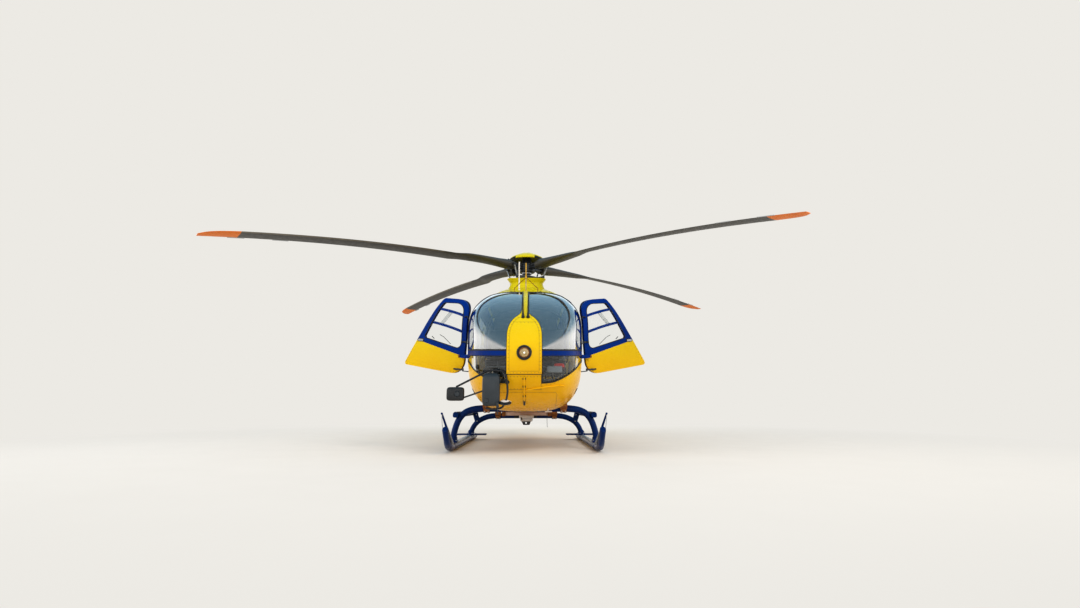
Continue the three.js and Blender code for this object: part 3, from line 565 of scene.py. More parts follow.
def raised(tree, shader, value, distance, strength=1.0):
    bump = node(tree, "ShaderNodeBump", Strength=strength, Distance=distance)
    tree.links.new(value, bump.inputs["Height"])
    tree.links.new(bump.outputs[0], shader.inputs["Normal"])


def surface(name, tones, roughness, patch=2.0, grain=900.0, relief=0.0001, metallic=0.0, coat=0.0,
            painted_shade_tones=None, dirt=None, stretch=None, shine=0.5):
    """A finish whose colour and roughness wander between two values over patches, with a fine grain.

    The low tones take over towards the ground as painted shade: a deeper, warmer colour low down. dirt is
    (colour, top height): dust that gathers below it.
    """
    material, tree, shader = principled(name, Metallic=metallic, Coat_Weight=coat, Coat_Roughness=0.06,
                                        Specular_IOR_Level=shine)
    patches = ranged(tree, noise(tree, patch, 5, 0.55, stretch), 0.32, 0.68)
    colour = blended(tree, patches, *tones)
    # Painted shade: between 1.95 m and 0.75 m the colour goes over to the low tones
    if painted_shade_tones:
        lower = blended(tree, patches, *painted_shade_tones)
        colour = blended(tree, ranged(tree, height_of(tree, object_place(tree)), 0.75, 1.95), lower, colour)
    if dirt:
        dust, top = dirt
        near_ground = ranged(tree, height_of(tree, object_place(tree)), 0.0, top, 0.75, 0.0)
        blotches = ranged(tree, noise(tree, 9, 8, 0.7), 0.42, 0.62)
        share = node(tree, "ShaderNodeMath", near_ground, blotches, operation="MULTIPLY")
        colour = blended(tree, share.outputs[0], colour, dust)
    tree.links.new(colour, shader.inputs["Base Color"])
    smudges = noise(tree, patch * 6, 6, 0.6, stretch)
    tree.links.new(ranged(tree, smudges, 0.3, 0.7, *roughness), shader.inputs["Roughness"])
    raised(tree, shader, noise(tree, grain, 2), relief)
    return material


def woven(name, tones, thread=0.004):
    """Upholstery: two crossing sets of threads, with slow changes of tone."""
    material = surface(name, tones, (0.8, 0.95), patch=7)
    tree = material.node_tree
    shader = tree.nodes["Principled BSDF"]
    threads = [node(tree, "ShaderNodeTexWave", object_place(tree), Scale=0.5 / thread, Distortion=0.6,
                    bands_direction=direction).outputs["Fac"] for direction in ("X", "Z")]
    raised(tree, shader, either(tree, *threads), 0.0008, 0.7)
    shader.inputs["Sheen Weight"].default_value = 0.3
    return material


def clear(name, tones, ior=1.5, coat=0.0):
    """Thin glazing: it lets lamps and bounced light through, so the cabin behind it is lit."""
    material, tree, shader = principled(name, Transmission_Weight=1.0, IOR=ior, Roughness=0.0,
                                        Coat_Weight=coat, Coat_IOR=2.0, Coat_Roughness=0.0)
    tree.links.new(blended(tree, noise(tree, 1.5, 2), *tones), shader.inputs["Base Color"])
    through = node(tree, "ShaderNodeBsdfTransparent", Color=(*tones[0], 1))
    path = node(tree, "ShaderNodeLightPath").outputs
    lit = either(tree, path["Is Shadow Ray"], path["Is Diffuse Ray"])
    tree.links.new(mixed(tree, lit, shader.outputs[0], through.outputs[0]),
                   tree.nodes["Material Output"].inputs["Surface"])
    return material


def glowing(name, colour, strength):
    """A lens with a little light of its own."""
    material = surface(name, (colour, tuple(c * 0.8 for c in colour)), (0.08, 0.2), patch=60)
    shader = material.node_tree.nodes["Principled BSDF"]
    shader.inputs["Emission Color"].default_value = (*colour, 1)
    shader.inputs["Emission Strength"].default_value = strength
    return material


DUST = (0.34, 0.29, 0.23)
# By look: the record's slot, and the material
LOOKS = {
    # Yellow paint, with painted shade that turns it deeper orange towards the ground
    "yellow": ("yellow_paint", surface(
        "yellow_paint", ((0.62, 0.53, 0.010), (0.60, 0.50, 0.009)), (0.22, 0.34), relief=0.00002,
        coat=0.14, shine=0.1, painted_shade_tones=((0.80, 0.42, 0.003), (0.77, 0.37, 0.003)))),
    "blue": ("blue_paint", surface(
        "blue_paint", ((0.001, 0.030, 0.20), (0.001, 0.023, 0.16)), (0.24, 0.36), relief=0.00002,
        coat=0.04, shine=0.05)),
    "gear": ("gear_paint", surface(
        "gear_paint", ((0.001, 0.022, 0.115), (0.001, 0.016, 0.09)), (0.3, 0.46), relief=0.00004,
        coat=0.05, shine=0.12, patch=5, dirt=(DUST, 0.12))),
    "glass": ("clear_glazing", clear("cabin_glass", ((0.93, 0.96, 0.97), (0.90, 0.94, 0.96)))),
    "door_glass": ("clear_glazing", clear("door_glass", ((0.96, 0.97, 0.97), (0.94, 0.96, 0.96)), ior=1.18)),
    "windshield": ("clear_glazing", clear(
        "windshield_glass", ((0.62, 0.70, 0.75), (0.58, 0.66, 0.72)), ior=1.9, coat=1.0)),
    "blade": ("blade_paint", surface(
        "blade_paint", ((0.060, 0.054, 0.044), (0.046, 0.043, 0.038)), (0.42, 0.6), patch=3,
        stretch=(1, 1, 6))),
    "edge": ("blade_paint", surface(
        "erosion_strip", ((0.22, 0.19, 0.15), (0.16, 0.14, 0.11)), (0.3, 0.5), metallic=0.7, patch=9)),
    "orange": ("blade_paint", surface(
        "tip_paint", ((0.80, 0.20, 0.006), (0.70, 0.16, 0.005)), (0.4, 0.55), patch=6, shine=0.2)),
    "black": ("dark_trim", surface(
        "black_trim", ((0.012, 0.012, 0.013), (0.018, 0.018, 0.019)), (0.4, 0.6), patch=8)),
    "rubber": ("dark_trim", surface(
        "seal_rubber", ((0.010, 0.010, 0.010), (0.016, 0.015, 0.015)), (0.6, 0.8), patch=20, relief=0.0003)),
    "seam": ("dark_trim", surface(
        "seam_filler", ((0.16, 0.09, 0.012), (0.10, 0.06, 0.010)), (0.6, 0.8), patch=30)),
    "mirror_back": ("dark_trim", surface(
        "housing_plastic", ((0.024, 0.031, 0.037), (0.018, 0.024, 0.029)), (0.35, 0.5), patch=6, coat=0.1)),
    "grey": ("grey_trim", surface(
        "grey_trim", ((0.16, 0.17, 0.18), (0.12, 0.13, 0.14)), (0.4, 0.6), patch=5)),
    "pale_grey": ("grey_trim", surface(
        "pale_grey", ((0.50, 0.50, 0.49), (0.42, 0.42, 0.41)), (0.4, 0.6), patch=9)),
    "lining": ("grey_trim", surface(
        "cabin_lining", ((0.060, 0.062, 0.066), (0.045, 0.047, 0.050)), (0.7, 0.9), patch=5, grain=250,
        relief=0.0006)),
    "floor": ("grey_trim", surface(
        "floor_covering", ((0.075, 0.078, 0.080), (0.05, 0.052, 0.055)), (0.6, 0.85), patch=14, grain=180,
        relief=0.0010)),
    "steel": ("machinery", surface(
        "machined_steel", ((0.42, 0.43, 0.44), (0.30, 0.31, 0.32)), (0.25, 0.45), metallic=0.9, patch=10,
        stretch=(1, 1, 8))),
    "dark_steel": ("machinery", surface(
        "dark_steel", ((0.045, 0.050, 0.056), (0.030, 0.034, 0.040)), (0.35, 0.55), metallic=0.4, patch=9)),
    "burnt": ("exhaust_metal", surface(
        "burnt_steel", ((0.20, 0.13, 0.09), (0.10, 0.085, 0.085)), (0.3, 0.55), metallic=0.9, patch=6)),
    "rust": ("machinery", surface(
        "bronze_fitting", ((0.30, 0.11, 0.022), (0.20, 0.07, 0.016)), (0.4, 0.65), metallic=0.3, patch=22)),
    "ochre": ("machinery", surface(
        "ochre_paint", ((0.60, 0.36, 0.03), (0.45, 0.25, 0.025)), (0.4, 0.6), patch=22)),
    "white": ("hook_paint", surface(
        "pale_paint", ((0.72, 0.68, 0.64), (0.60, 0.55, 0.52)), (0.35, 0.5), patch=9)),
    "pink": ("hook_paint", surface(
        "primer_paint", ((0.72, 0.52, 0.44), (0.62, 0.42, 0.34)), (0.4, 0.6), patch=8)),
    "lamp": ("lamp_metal", surface(
        "lamp_reflector", ((0.56, 0.40, 0.18), (0.40, 0.26, 0.10)), (0.08, 0.2), metallic=1.0, patch=30)),
    "lens": ("lamp_metal", glowing("lamp_lens", (0.95, 0.93, 0.85), 0.6)),
    "red_lens": ("lamp_metal", glowing("red_lens", (0.60, 0.02, 0.012), 0.15)),
    "cloth": ("seat_cloth", woven("seat_weave", ((0.030, 0.034, 0.042), (0.020, 0.023, 0.030)))),
    "red": ("seat_cloth", surface(
        "red_bag", ((0.62, 0.02, 0.015), (0.48, 0.015, 0.012)), (0.6, 0.8), patch=18, grain=300,
        relief=0.0006)),
    "screen": ("avionics", surface(
        "dark_screen", ((0.010, 0.014, 0.018), (0.014, 0.018, 0.024)), (0.05, 0.12), patch=10)),
    "panel": ("avionics", surface(
        "panel_paint", ((0.022, 0.023, 0.025), (0.032, 0.033, 0.035)), (0.5, 0.7), patch=12, relief=0.0003)),
}


def put(made, look, body="fuselage", stands_for=(), name=None, matrix=None, sharp=35, keep_materials=False):
    """Finishes a piece: its place in the frame, its material, its body, and what it replaces."""
    if name:
        made.name = made.data.name = name
    if matrix is not None:
        made.data.transform(matrix)
    made.data.transform(Matrix.Translation((0, SHIFT, 0)))
    slot, material = LOOKS[look]
    if not keep_materials:
        made.data.materials.clear()
        made.data.materials.append(material)
    made.data.shade_smooth()
    made.data.set_sharp_from_angle(angle=math.radians(sharp))
    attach(made, body)
    if stands_for:
        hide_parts(*([stands_for] if isinstance(stands_for, str) else stands_for))
    return made


def split_looks(made, looks, choose):
    """Gives each face the look that choose(centre, normal) names."""
    made.data.materials.clear()
    for look in looks:
        made.data.materials.append(LOOKS[look][1])
    for face in made.data.polygons:
        face.material_index = looks.index(choose(face.center, face.normal))


# Small parts that come in numbers, and tools that cut the skin
LEFT_HALF = (0.02, 1)


def rivet():
    return lathe([(0, -0.001), (0.0042, -0.001), (0.0042, 0.0003), (0.003, 0.0011), (0, 0.0014)], 8)


def spaced(points, pitch):
    """Points at an even pitch along a line of points."""
    points = [Vector(p) for p in points]
    lengths = [(b - a).length for a, b in zip(points, points[1:])]
    total = sum(lengths)
    count = max(1, round(total / pitch))
    found = []
    for k in range(count + 1):
        left = total * k / count
        for a, b, length in zip(points, points[1:], lengths):
            if left <= length + 1e-9:
                found.append(a.lerp(b, left / length if length else 0))
                break
            left -= length
    return found


def riveted(name, lines, pitch, place):
    """Rivets along lines of (u, v) points, each stood on the skin by place(u, v)."""
    points = [p for line in lines for p in spaced([(u, v, 0) for u, v in line], pitch)]
    return repeated(name, rivet(), [on_skin(place(p[0], p[1])) for p in points])


def both_sides(master, look, name, stands_for=None, body=None, matrix=None):
    """Puts a piece drawn on the left, and its mirror image on the right, and adds the side to its names."""
    for side_name, side in SIDES:
        put(mirrored(master, side), look, f"{body}_{side_name}" if body else "fuselage",
            f"{stands_for}_{side_name}" if stands_for else (), f"{name}_{side_name}",
            matrix(side) if matrix else None)
    removed(master)


def side_tool(outline):
    """An outline in (y, z) made solid through the left half."""
    return prism(outline, "x", *LEFT_HALF)


def ring_tool(outline, outwards, inwards, axis="x", start=LEFT_HALF[0], end=LEFT_HALF[1]):
    return cut(prism(grown(outline, outwards), axis, start, end),
               prism(grown(outline, -inwards), axis, start - 0.1, end + 0.1))


def bar_outline(start, end, width, bow=0.0, steps=8):
    """A strip between two points, bowed to its left by bow at the middle."""
    start, end = np.array(start), np.array(end)
    along = (end - start) / np.linalg.norm(end - start)
    across = np.array((-along[1], along[0]))
    middle = [start + (end - start) * t + across * 4 * bow * t * (1 - t)
              for t in np.linspace(0, 1, steps + 1)]
    left = [tuple(p + across * width / 2) for p in middle]
    return left + [tuple(p - across * width / 2) for p in middle[::-1]]


# Outlines seen from the side, (y, z)
FRONT_DOOR = rounded([(-1.215, 1.08, 0.03), (-1.774, 2.053, 0.04), (-2.2, 2.04, 0.24), (-2.222, 1.5, 0),
                      (-2.21, 1.0, 0.19)])
FRONT_DOORWAY = rounded([(-1.2, 1.074, 0.036), (-1.758, 2.072, 0.046), (-2.206, 2.058, 0.246),
                         (-2.228, 1.5, 0), (-2.216, 0.994, 0.196)])
FRONT_DOOR_WINDOW = rounded([(-1.534, 1.48, 0.03), (-1.79, 1.985, 0.04), (-2.13, 1.985, 0.15),
                             (-2.16, 1.5, 0), (-2.157, 1.345, 0.07)])
SLIDING_DOOR = rounded([(-1.1, 0.985, 0.07), (-1.655, 2.05, 0.09), (0.3, 2.05, 0.13), (0.33, 0.985, 0.13)])
SLIDING_WINDOW = rounded([(-1.24, 1.45, 0.06), (-1.53, 1.98, 0.08), (0.215, 1.98, 0.1), (0.215, 1.45, 0.1)])
QUARTER_WINDOW = rounded([(0.48, 1.45, 0.08), (0.48, 1.98, 0.1), (1.28, 1.96, 0.16), (1.4, 1.48, 0.09)])


def band(edge, y):
    """Height of one of the belt band's edges, which rise from the nose to the doors."""
    return edge + 0.1 * (y + 3.11)


def band_edge(edge, x):
    """The same height, by the distance from the middle."""
    return edge - 0.004 + 0.097 * x * x


def band_tool(edge, limit, gap=0.0, y0=-3.4, y1=-2.0):
    """The space between one of the band's edges, moved up by gap, and a level above or below it."""
    return prism([(y0, band(edge, y0) + gap), (y1, band(edge, y1) + gap), (y1, limit), (y0, limit)],
                 "x", -1, 1)


def above_band(edge, y0=-3.4, y1=-2.0):
    return band_tool(edge, 2.6, 0.0, y0, y1)


def below_band(edge, gap=0.0, y0=-3.4, y1=-2.0):
    return band_tool(edge, 0, -gap, y0, y1)


WINDSHIELD = rounded([(-3.4, band(BAND_HIGH, -3.4), 0), (-2.304, band(BAND_HIGH, -2.304), 0.05),
                      (-2.296, 1.76, 0.3), (-2.19, 1.99, 0.3), (-2.01, 2.11, 0.5), (-1.84, 2.19, 0.03),
                      (-1.82, 2.5, 0), (-3.4, 2.5, 0)])
BELT_RISE = (1.436 - 1.278) / (2.101 - 1.438)
BELT_FLAT_Y, BELT_Z = -1.438, 1.436
BELT_GAP = 0.0001


def belt(y):
    """Height of the line between the blue above and the yellow below."""
    return BELT_Z + min(0, y - BELT_FLAT_Y) * BELT_RISE


def belt_tool(limit, gap):
    """The left side between the belt line, moved up by gap, and a level above or below it."""
    return prism([(-2.6, belt(-2.6) + gap), (BELT_FLAT_Y, BELT_Z + gap), (3, BELT_Z + gap), (3, limit),
                  (-2.6, limit)], "x", 0, 1)


def two_tone(whole, name, stands_for, **options):
    """Splits a side's skin at the belt, in blue above and in yellow below."""
    both_sides(meet(copied(whole), belt_tool(2.6, BELT_GAP)), "blue", f"{name}_frame", stands_for, **options)
    both_sides(meet(whole, belt_tool(0.4, -BELT_GAP)), "yellow", f"{name}_skin", **options)


def glazed(outline, look, name, stands_for, axis="x", start=LEFT_HALF[0], end=LEFT_HALF[1], **options):
    """A pane on both sides, a little smaller than its opening."""
    pane = skin(GLASS_OUT, GLASS_IN, prism(grown(outline, -TOUCH), axis, start, end))
    both_sides(pane, look, name, stands_for, **options)


# Outlines seen from the front, (x, z)
ARCH_HALF, ARCH_TOP, ARCH_SPRING, ARCH_FOOT, POST_HALF = 0.21, 1.74, 1.44, 0.972, 0.036
ARCH = [(-ARCH_HALF, ARCH_FOOT), (ARCH_HALF, ARCH_FOOT)] + [
    (ARCH_HALF * math.cos(angle), ARCH_SPRING + (ARCH_TOP - ARCH_SPRING) * math.sin(angle))
    for angle in np.linspace(0, math.pi, 49)]
CHIN_LOW = [(0.27, 0.868), (0.37, 0.886), (0.5, 0.948), (0.63, 1.04), (0.715, 1.14)]
CHIN_TOP = 1.33
CHIN = [(ARCH_HALF + TOUCH, CHIN_TOP), (ARCH_HALF + TOUCH, 0.866), *map(tuple, np.array(
    [(u, v) for u, v, _ in spline([(u, v, 0) for u, v in CHIN_LOW], 5)])), (0.79, 1.21), (0.82, CHIN_TOP)]


def arch_tool(gap=0.0, start=-3.4):
    flare = [(-POST_HALF, 1.81), (-0.05, 1.757), (-0.09, 1.709), (0.09, 1.709), (0.05, 1.757),
             (POST_HALF, 1.81)]
    post = rectangle(-POST_HALF, 1.7, POST_HALF, 2.5)
    return fuse(prism(grown(ARCH, gap), "y", start, -1.8), prism(grown(flare, gap), "y", start, -1.8),
                prism(grown(post, gap), "y", start, -1.81 + gap))


def chin_tool(gap=0.0, side=1):
    return meet(prism([(side * u, v) for u, v in grown(CHIN, gap)], "y", -3.4, -2.31 + gap),
                below_band(BAND_LOW, -gap))


def x_box(y0, y1, z0, z1, x0=-1.0, x1=1.0):
    return box((x0, y0, z0), (x1, y1, z1), 0)


# Cockpit frame, windshields and nose fairing
LAMP_Z, LAMP_RADIUS = 1.222, 0.07
NOSE_REACH = (-3.4, -2.3)


def windshield_tool():
    return prism(WINDSHIELD, "x", -1, 1)


def nose():
    frame_piece = cut(skin(0, WALL, above_band(BAND_LOW, -3.3, PILLAR_Y)),
                      windshield_tool(), arch_tool(ARCH_GAP))
    put(frame_piece, "blue", name="cockpit_frame_panel", stands_for="cockpit_frame")

    fairing = cut(skin(-0.012, 0.02, arch_tool()),
                  rod((0, -3.3, LAMP_Z), (0, -3.0, LAMP_Z), LAMP_RADIUS + 0.001, 48))
    put(fairing, "yellow", name="nose_fairing_panel", stands_for="nose_fairing")
    trim = cut(skin(-0.004, 0.006, arch_tool(0.007)), arch_tool(-0.001, -3.5))
    put(trim, "rubber", name="nose_fairing_seal")

    glass = skin(GLASS_OUT, GLASS_IN, side_tool(grown(WINDSHIELD, -PANE_GAP)))
    both_sides(cut(glass, arch_tool(PANE_GAP)), "windshield", "windshield_pane", "windshield")
    seal = skin(-0.0012, 0.013, ring_tool(WINDSHIELD, 0.006, 0.014))
    both_sides(cut(seal, arch_tool(PANE_GAP), x_box(-3.4, -1.8, 2.3, 2.6)), "rubber", "windshield_seal")

    pane = skin(GLASS_OUT, GLASS_IN, chin_tool(-PANE_GAP))
    both_sides(cut(pane, arch_tool(PANE_GAP)), "glass", "chin_window_pane", "chin_window")
    edge = cut(skin(-0.001, 0.013, chin_tool(0.005)), chin_tool(-0.011))
    both_sides(cut(edge, arch_tool(PANE_GAP), above_band(BAND_LOW)), "rubber",
               "chin_window_seal")


def facing_front(y, z=LAMP_Z, x=0.0):
    """The matrix that turns a part's Z to the front."""
    return placed((x, y, z), 90, "X")


def lamp():
    place = facing_front(-3.1185)
    housing = lathe([(0.046, 0.006), (0.07, 0.0), (0.07, 0.042), (0.066, 0.0485), (0.058, 0.0495),
                     (0.055, 0.044), (0.056, 0.03), (0.05, 0.016), (0.046, 0.006)], 64, place)
    put(housing, "black", name="landing_lamp_housing", stands_for="landing_lamp")
    bezel = lathe([(0.0555, 0.030), (0.0615, 0.0495), (0.0595, 0.0525), (0.054, 0.0505), (0.0505, 0.036),
                   (0.0555, 0.030)], 64, place)
    put(bezel, "rust", name="landing_lamp_bezel")
    # A black ring on the fairing round the lamp: painted shadow of the gap in which the lamp sits
    rim = lathe([(0.0704, 0.028), (0.089, 0.028), (0.0905, 0.036), (0.086, 0.0425), (0.0716, 0.045),
                 (0.0704, 0.04)], 64, place)
    put(rim, "black", name="landing_lamp_shadow_ring")
    bowl = lathe([(0, 0.004), (0.018, 0.006), (0.036, 0.014), (0.047, 0.026), (0.052, 0.037),
                  (0.0535, 0.036), (0.0485, 0.024), (0.037, 0.012), (0.02, 0.002), (0, 0.0005)], 64, place)
    put(bowl, "lamp", name="landing_lamp_reflector")
    bulb = merged("bulb", [
        lathe([(0, 0.004), (0.011, 0.004), (0.012, 0.012), (0.010, 0.016), (0.0, 0.018)], 32,
              place),
        lathe([(0, 0.016), (0.0085, 0.018), (0.0105, 0.025), (0.008, 0.031), (0, 0.034)], 32, place)])
    put(bulb, "lens", name="landing_lamp_bulb")
    cover = lathe([(0, 0.0405), (0.05, 0.0375), (0.053, 0.0395), (0.035, 0.0425), (0, 0.0435)], 64, place)
    put(cover, "glass", name="landing_lamp_cover")


def nose_details():
    """Rows of rivets and joints on the nose, drawn as (x, z) lines, and the post and strake there."""
    inner = [(u, max(v, ARCH_FOOT + 0.004)) for u, v in grown(ARCH, -0.03)]
    on_fairing = [
        [(-0.19, 0.985), (-0.19, 1.43)], [(0.19, 0.985), (0.19, 1.43)],
        [p for p in grown(ARCH, -0.02) if p[1] > 1.45],
        [(-0.14, 1.612), (0.14, 1.612)],
        [(-0.17, 0.985), (0.17, 0.985)],
    ]
    put(riveted("nose_fairing_rivets", on_fairing, 0.045, lambda x, z: front_point(x, z, -0.012)),
        "dark_steel")
    seams = [ring_tool(inner, 0.0, SEAM_WIDTH, "y", *NOSE_REACH),
             prism(rectangle(-0.142, 1.622, 0.142, 1.6245), "y", *NOSE_REACH)]
    strip = merged("nose_fairing_joints", [
        skin(-0.0126, -0.009, tool) for tool in seams])
    put(strip, "seam")

    lower = [
        [(-0.2, 0.94), (0.2, 0.94)], [(-0.2, 0.80), (-0.2, 0.94)], [(0.2, 0.80), (0.2, 0.94)],
        [(-0.2, 0.80), (0.2, 0.80)],
    ]
    put(riveted("nose_hull_rivets", lower, 0.042, front_point), "dark_steel")
    joints = [
        prism(rectangle(-0.212, 0.966, 0.212, 0.9695), "y", *NOSE_REACH),
        ring_tool(rectangle(-0.213, 0.79, 0.213, 0.967), 0.0, SEAM_WIDTH, "y", *NOSE_REACH),
        ring_tool(rounded([(-0.404, 0.3, 0), (0.404, 0.3, 0), (0.404, 0.763, 0.03), (-0.404, 0.763, 0.03)]),
                  0.0, SEAM_WIDTH, "y", *NOSE_REACH),
    ]
    strip = merged("nose_hull_joints", [skin(-SEAM_PROUD, SEAM_DEPTH, tool) for tool in joints])
    put(strip, "seam")

    lines = [[(side * x, band_edge(edge, x)) for x in np.linspace(0.225, 0.7, 12)]
             for side in (1, -1) for edge in (BAND_LOW + 0.011, BAND_HIGH - 0.011)]
    put(riveted("belt_band_rivets", lines, 0.06, front_point), "dark_steel")
    chin = [(u, v) for u, v in grown(CHIN, 0.018) if v < BAND_LOW - 0.02 and u > 0.22]
    rows = [chin, [(-u, v) for u, v in chin]]
    put(riveted("chin_window_rivets", rows, 0.05, front_point), "dark_steel")

    strake = [front_point(x, z, -0.004) for x, z in ((0.02, 0.786), (0.15, 0.806), (0.3, 0.826),
                                                     (0.42, 0.838), (0.5, 0.842))]
    put(tube(spline(strake, 6), [0.012] * 24 + [0.004], 14, flat=0.75), "yellow", name="nose_strake")

    post = [front_point(0.0, z, -0.017) for z in np.linspace(0.93, 0.66, 8)]
    post.append(belly_point(0.0, -2.72, -0.017))
    line = tube(post, 0.0085, 16)
    tip = tube([post[-2], post[-1], post[-1] + (post[-1] - post[-2]).normalized() * 0.02], 0.013, 16)
    put(line, "yellow", name="nose_post")
    put(tip, "black", name="nose_post_end")
    feet = []
    for z in (0.92, 0.83, 0.72):
        feet.append(on_skin(front_point(0.0, z)))
    put(repeated("nose_post_feet", box((-0.018, -0.011, -0.002), (0.018, 0.011, 0.016), 0.003), feet),
        "black")


# Lower hull, side walls, cabin doors, roof
# The front cross tube lies in a trough across the belly
TROUGH_HALF, TROUGH_WALL = 0.058, 0.022
TROUGH_TOP = FRONT_TUBE_Z + CROSS_RADIUS + 0.012


def trough(grow):
    front, rear = FRONT_TUBE_Y - TROUGH_HALF - grow, FRONT_TUBE_Y + TROUGH_HALF + grow
    return box((-0.7, front, 0), (0.7, rear, TROUGH_TOP + grow), 0.004)


def hull():
    keep = fuse(below_band(BAND_LOW, TOUCH, -3.3, PILLAR_Y), x_box(PILLAR_Y - 0.01, 3.0, 0, SILL_Z))
    made = fuse(skin(0, WALL, keep), meet(shell(0), trough(TROUGH_WALL)))
    cut(made, trough(0), x_box(PILLAR_Y - TOUCH, 3.0, SILL_Z, 3.0), chin_tool(0, 1), chin_tool(0, -1),
        arch_tool(ARCH_GAP))
    put(made, "yellow", name="lower_hull_panel", stands_for="lower_hull")

    rows = []
    for side in (1, -1):
        rows.append([side_point(y, SILL_Z - 0.018, side) for y in np.linspace(-2.1, 1.75, 78)])
        rows.append([side_point(y, 0.74, side) for y in np.linspace(-1.9, 1.6, 66)])
    for y in (-1.98, -1.66, -1.3, -0.55, 0.75, 1.5):
        rows.append([belly_point(x, y) for x in np.linspace(-0.6, 0.6, 25)])
    matrices = [on_skin(p) for row in rows for p in row]
    put(repeated("hull_rivets", rivet(), matrices), "dark_steel")

    joints = [prism(rectangle(y, 0.2, y + 0.003, SILL_Z), "x", -1, 1)
              for y in (-1.99, -0.56, 0.74, 1.49)]
    joints.append(fuse(prism(rectangle(-2.2, 0.755, 1.9, 0.758), "x", 0.3, 1),
                       prism(rectangle(-2.2, 0.755, 1.9, 0.758), "x", -1, -0.3)))
    strip = merged("hull_joints", [skin(-SEAM_PROUD, SEAM_DEPTH, tool) for tool in joints])
    put(strip, "seam")

    vents = []
    for side in (1, -1):
        at = side_point(-2.33, 0.79, side)
        outline = rounded([(-0.055, -0.028, 0.008), (0.05, -0.03, 0.006), (0.035, 0.034, 0.01)])
        scoop = prism(outline, "z", -0.004, 0.004)
        vents.append(repeated("vent", scoop, [
            on_skin(at)
            @ turned(90 if side > 0 else -90, "Z")]))
    put(merged("hull_vents", vents), "black")


def window_trim(outline, name, outwards=0.007, inwards=0.012, axis="x", start=LEFT_HALF[0], end=LEFT_HALF[1],
                **options):
    seal = skin(-0.0012, 0.014, ring_tool(outline, outwards, inwards, axis, start, end))
    both_sides(seal, "rubber", name, **options)


def hinge_place(point, lean):
    return Matrix.Translation(point) @ Matrix.Rotation(lean, 4, "Y")


FRONT_HINGE, FRONT_LEAN = (0.8, -2.25, 1.35), math.atan2(-70, 600)
REAR_HINGE, REAR_LEAN = (0.762, 1.82, 1.35), 0.0
# Hinge rows: height along the axis, reach from it to the skin, and where the strap starts and ends
FRONT_ROWS = ((-0.285, 0.118, 0.118, 0.15), (0.09, 0.06, 0.044, 0.08))
REAR_ROWS = ((-0.33, 0.088, 0.018, 0.08), (0.27, 0.052, 0.018, 0.08))


def hinge_lugs(rows, depth, place):
    pieces = []
    for height, reach, _, _ in rows:
        pieces += [rod((0, 0, height - 0.012), (0, 0, height), 0.01, 28),
                   rod((0, 0, height - 0.012), (0, 0, height + 0.026), 0.005, 20),
                   lathe([(0, height + 0.0235), (0.0085, height + 0.0235), (0.0085, height + 0.0285),
                          (0.006, height + 0.031), (0, height + 0.0315)], sides=6),
                   box((-reach, depth, height - 0.012), (-0.002, 0, height), 0.003)]
    made = merged("hinge_lugs", pieces)
    made.data.transform(place)
    return made


def hinge_straps(rows, place):
    pieces = []
    for height, reach, start, end in rows:
        low, high = height + 0.0005, height + 0.022
        pieces += [lathe([(0.0056, low), (0.0088, low), (0.01, low + 0.0012), (0.01, high - 0.0012),
                          (0.0088, high), (0.0056, high), (0.0056, low)], sides=28),
                   box((-0.008, 0.007, low), (0.008, end, high), 0.0025),
                   box((-reach + 0.008, start, low), (0.008, end, high), 0.0025)]
    made = merged("hinge_straps", pieces)
    made.data.transform(place)
    return made


def side_walls():
    whole = skin(0, WALL, side_tool(rectangle(PILLAR_Y + TOUCH, SILL_Z + TOUCH, REAR_DOOR_Y, EAVE_Z)))
    cut(whole, side_tool(FRONT_DOORWAY), windshield_tool(),
        side_tool(SLIDING_DOOR), side_tool(QUARTER_WINDOW))
    two_tone(whole, "side_wall", "side_wall")
    window_trim(QUARTER_WINDOW, "quarter_window_seal")
    glazed(QUARTER_WINDOW, "glass", "quarter_window_pane", "quarter_window")
    both_sides(hinge_lugs(FRONT_ROWS, -0.011, hinge_place(FRONT_HINGE, FRONT_LEAN)), "dark_steel",
               "front_door_hinge_lugs")
    both_sides(hinge_lugs(REAR_ROWS, -0.04, hinge_place(REAR_HINGE, REAR_LEAN)), "dark_steel",
               "rear_door_hinge_lugs")
    # The doorway's own rubber, just inside its edge
    seal = skin(0.006, 0.034, ring_tool(FRONT_DOORWAY, 0.002, 0.004))
    both_sides(seal, "rubber", "front_doorway_seal")
    seal = skin(0.004, 0.04, ring_tool(SLIDING_DOOR, 0.003, 0.0))
    both_sides(seal, "rubber", "cabin_doorway_seal")

    matrices = []
    rows = [[(y, 2.1) for y in np.linspace(-1.7, 1.78, 74)],
            [(y, SILL_Z + 0.02) for y in np.linspace(-2.1, 1.78, 82)],
            grown(QUARTER_WINDOW, 0.03)]
    for row in rows:
        for y, z in row:
            p = side_point(y, z)
            matrices.append(on_skin(p))
    both_sides(repeated("rivets", rivet(), matrices), "dark_steel", "side_wall_rivets")


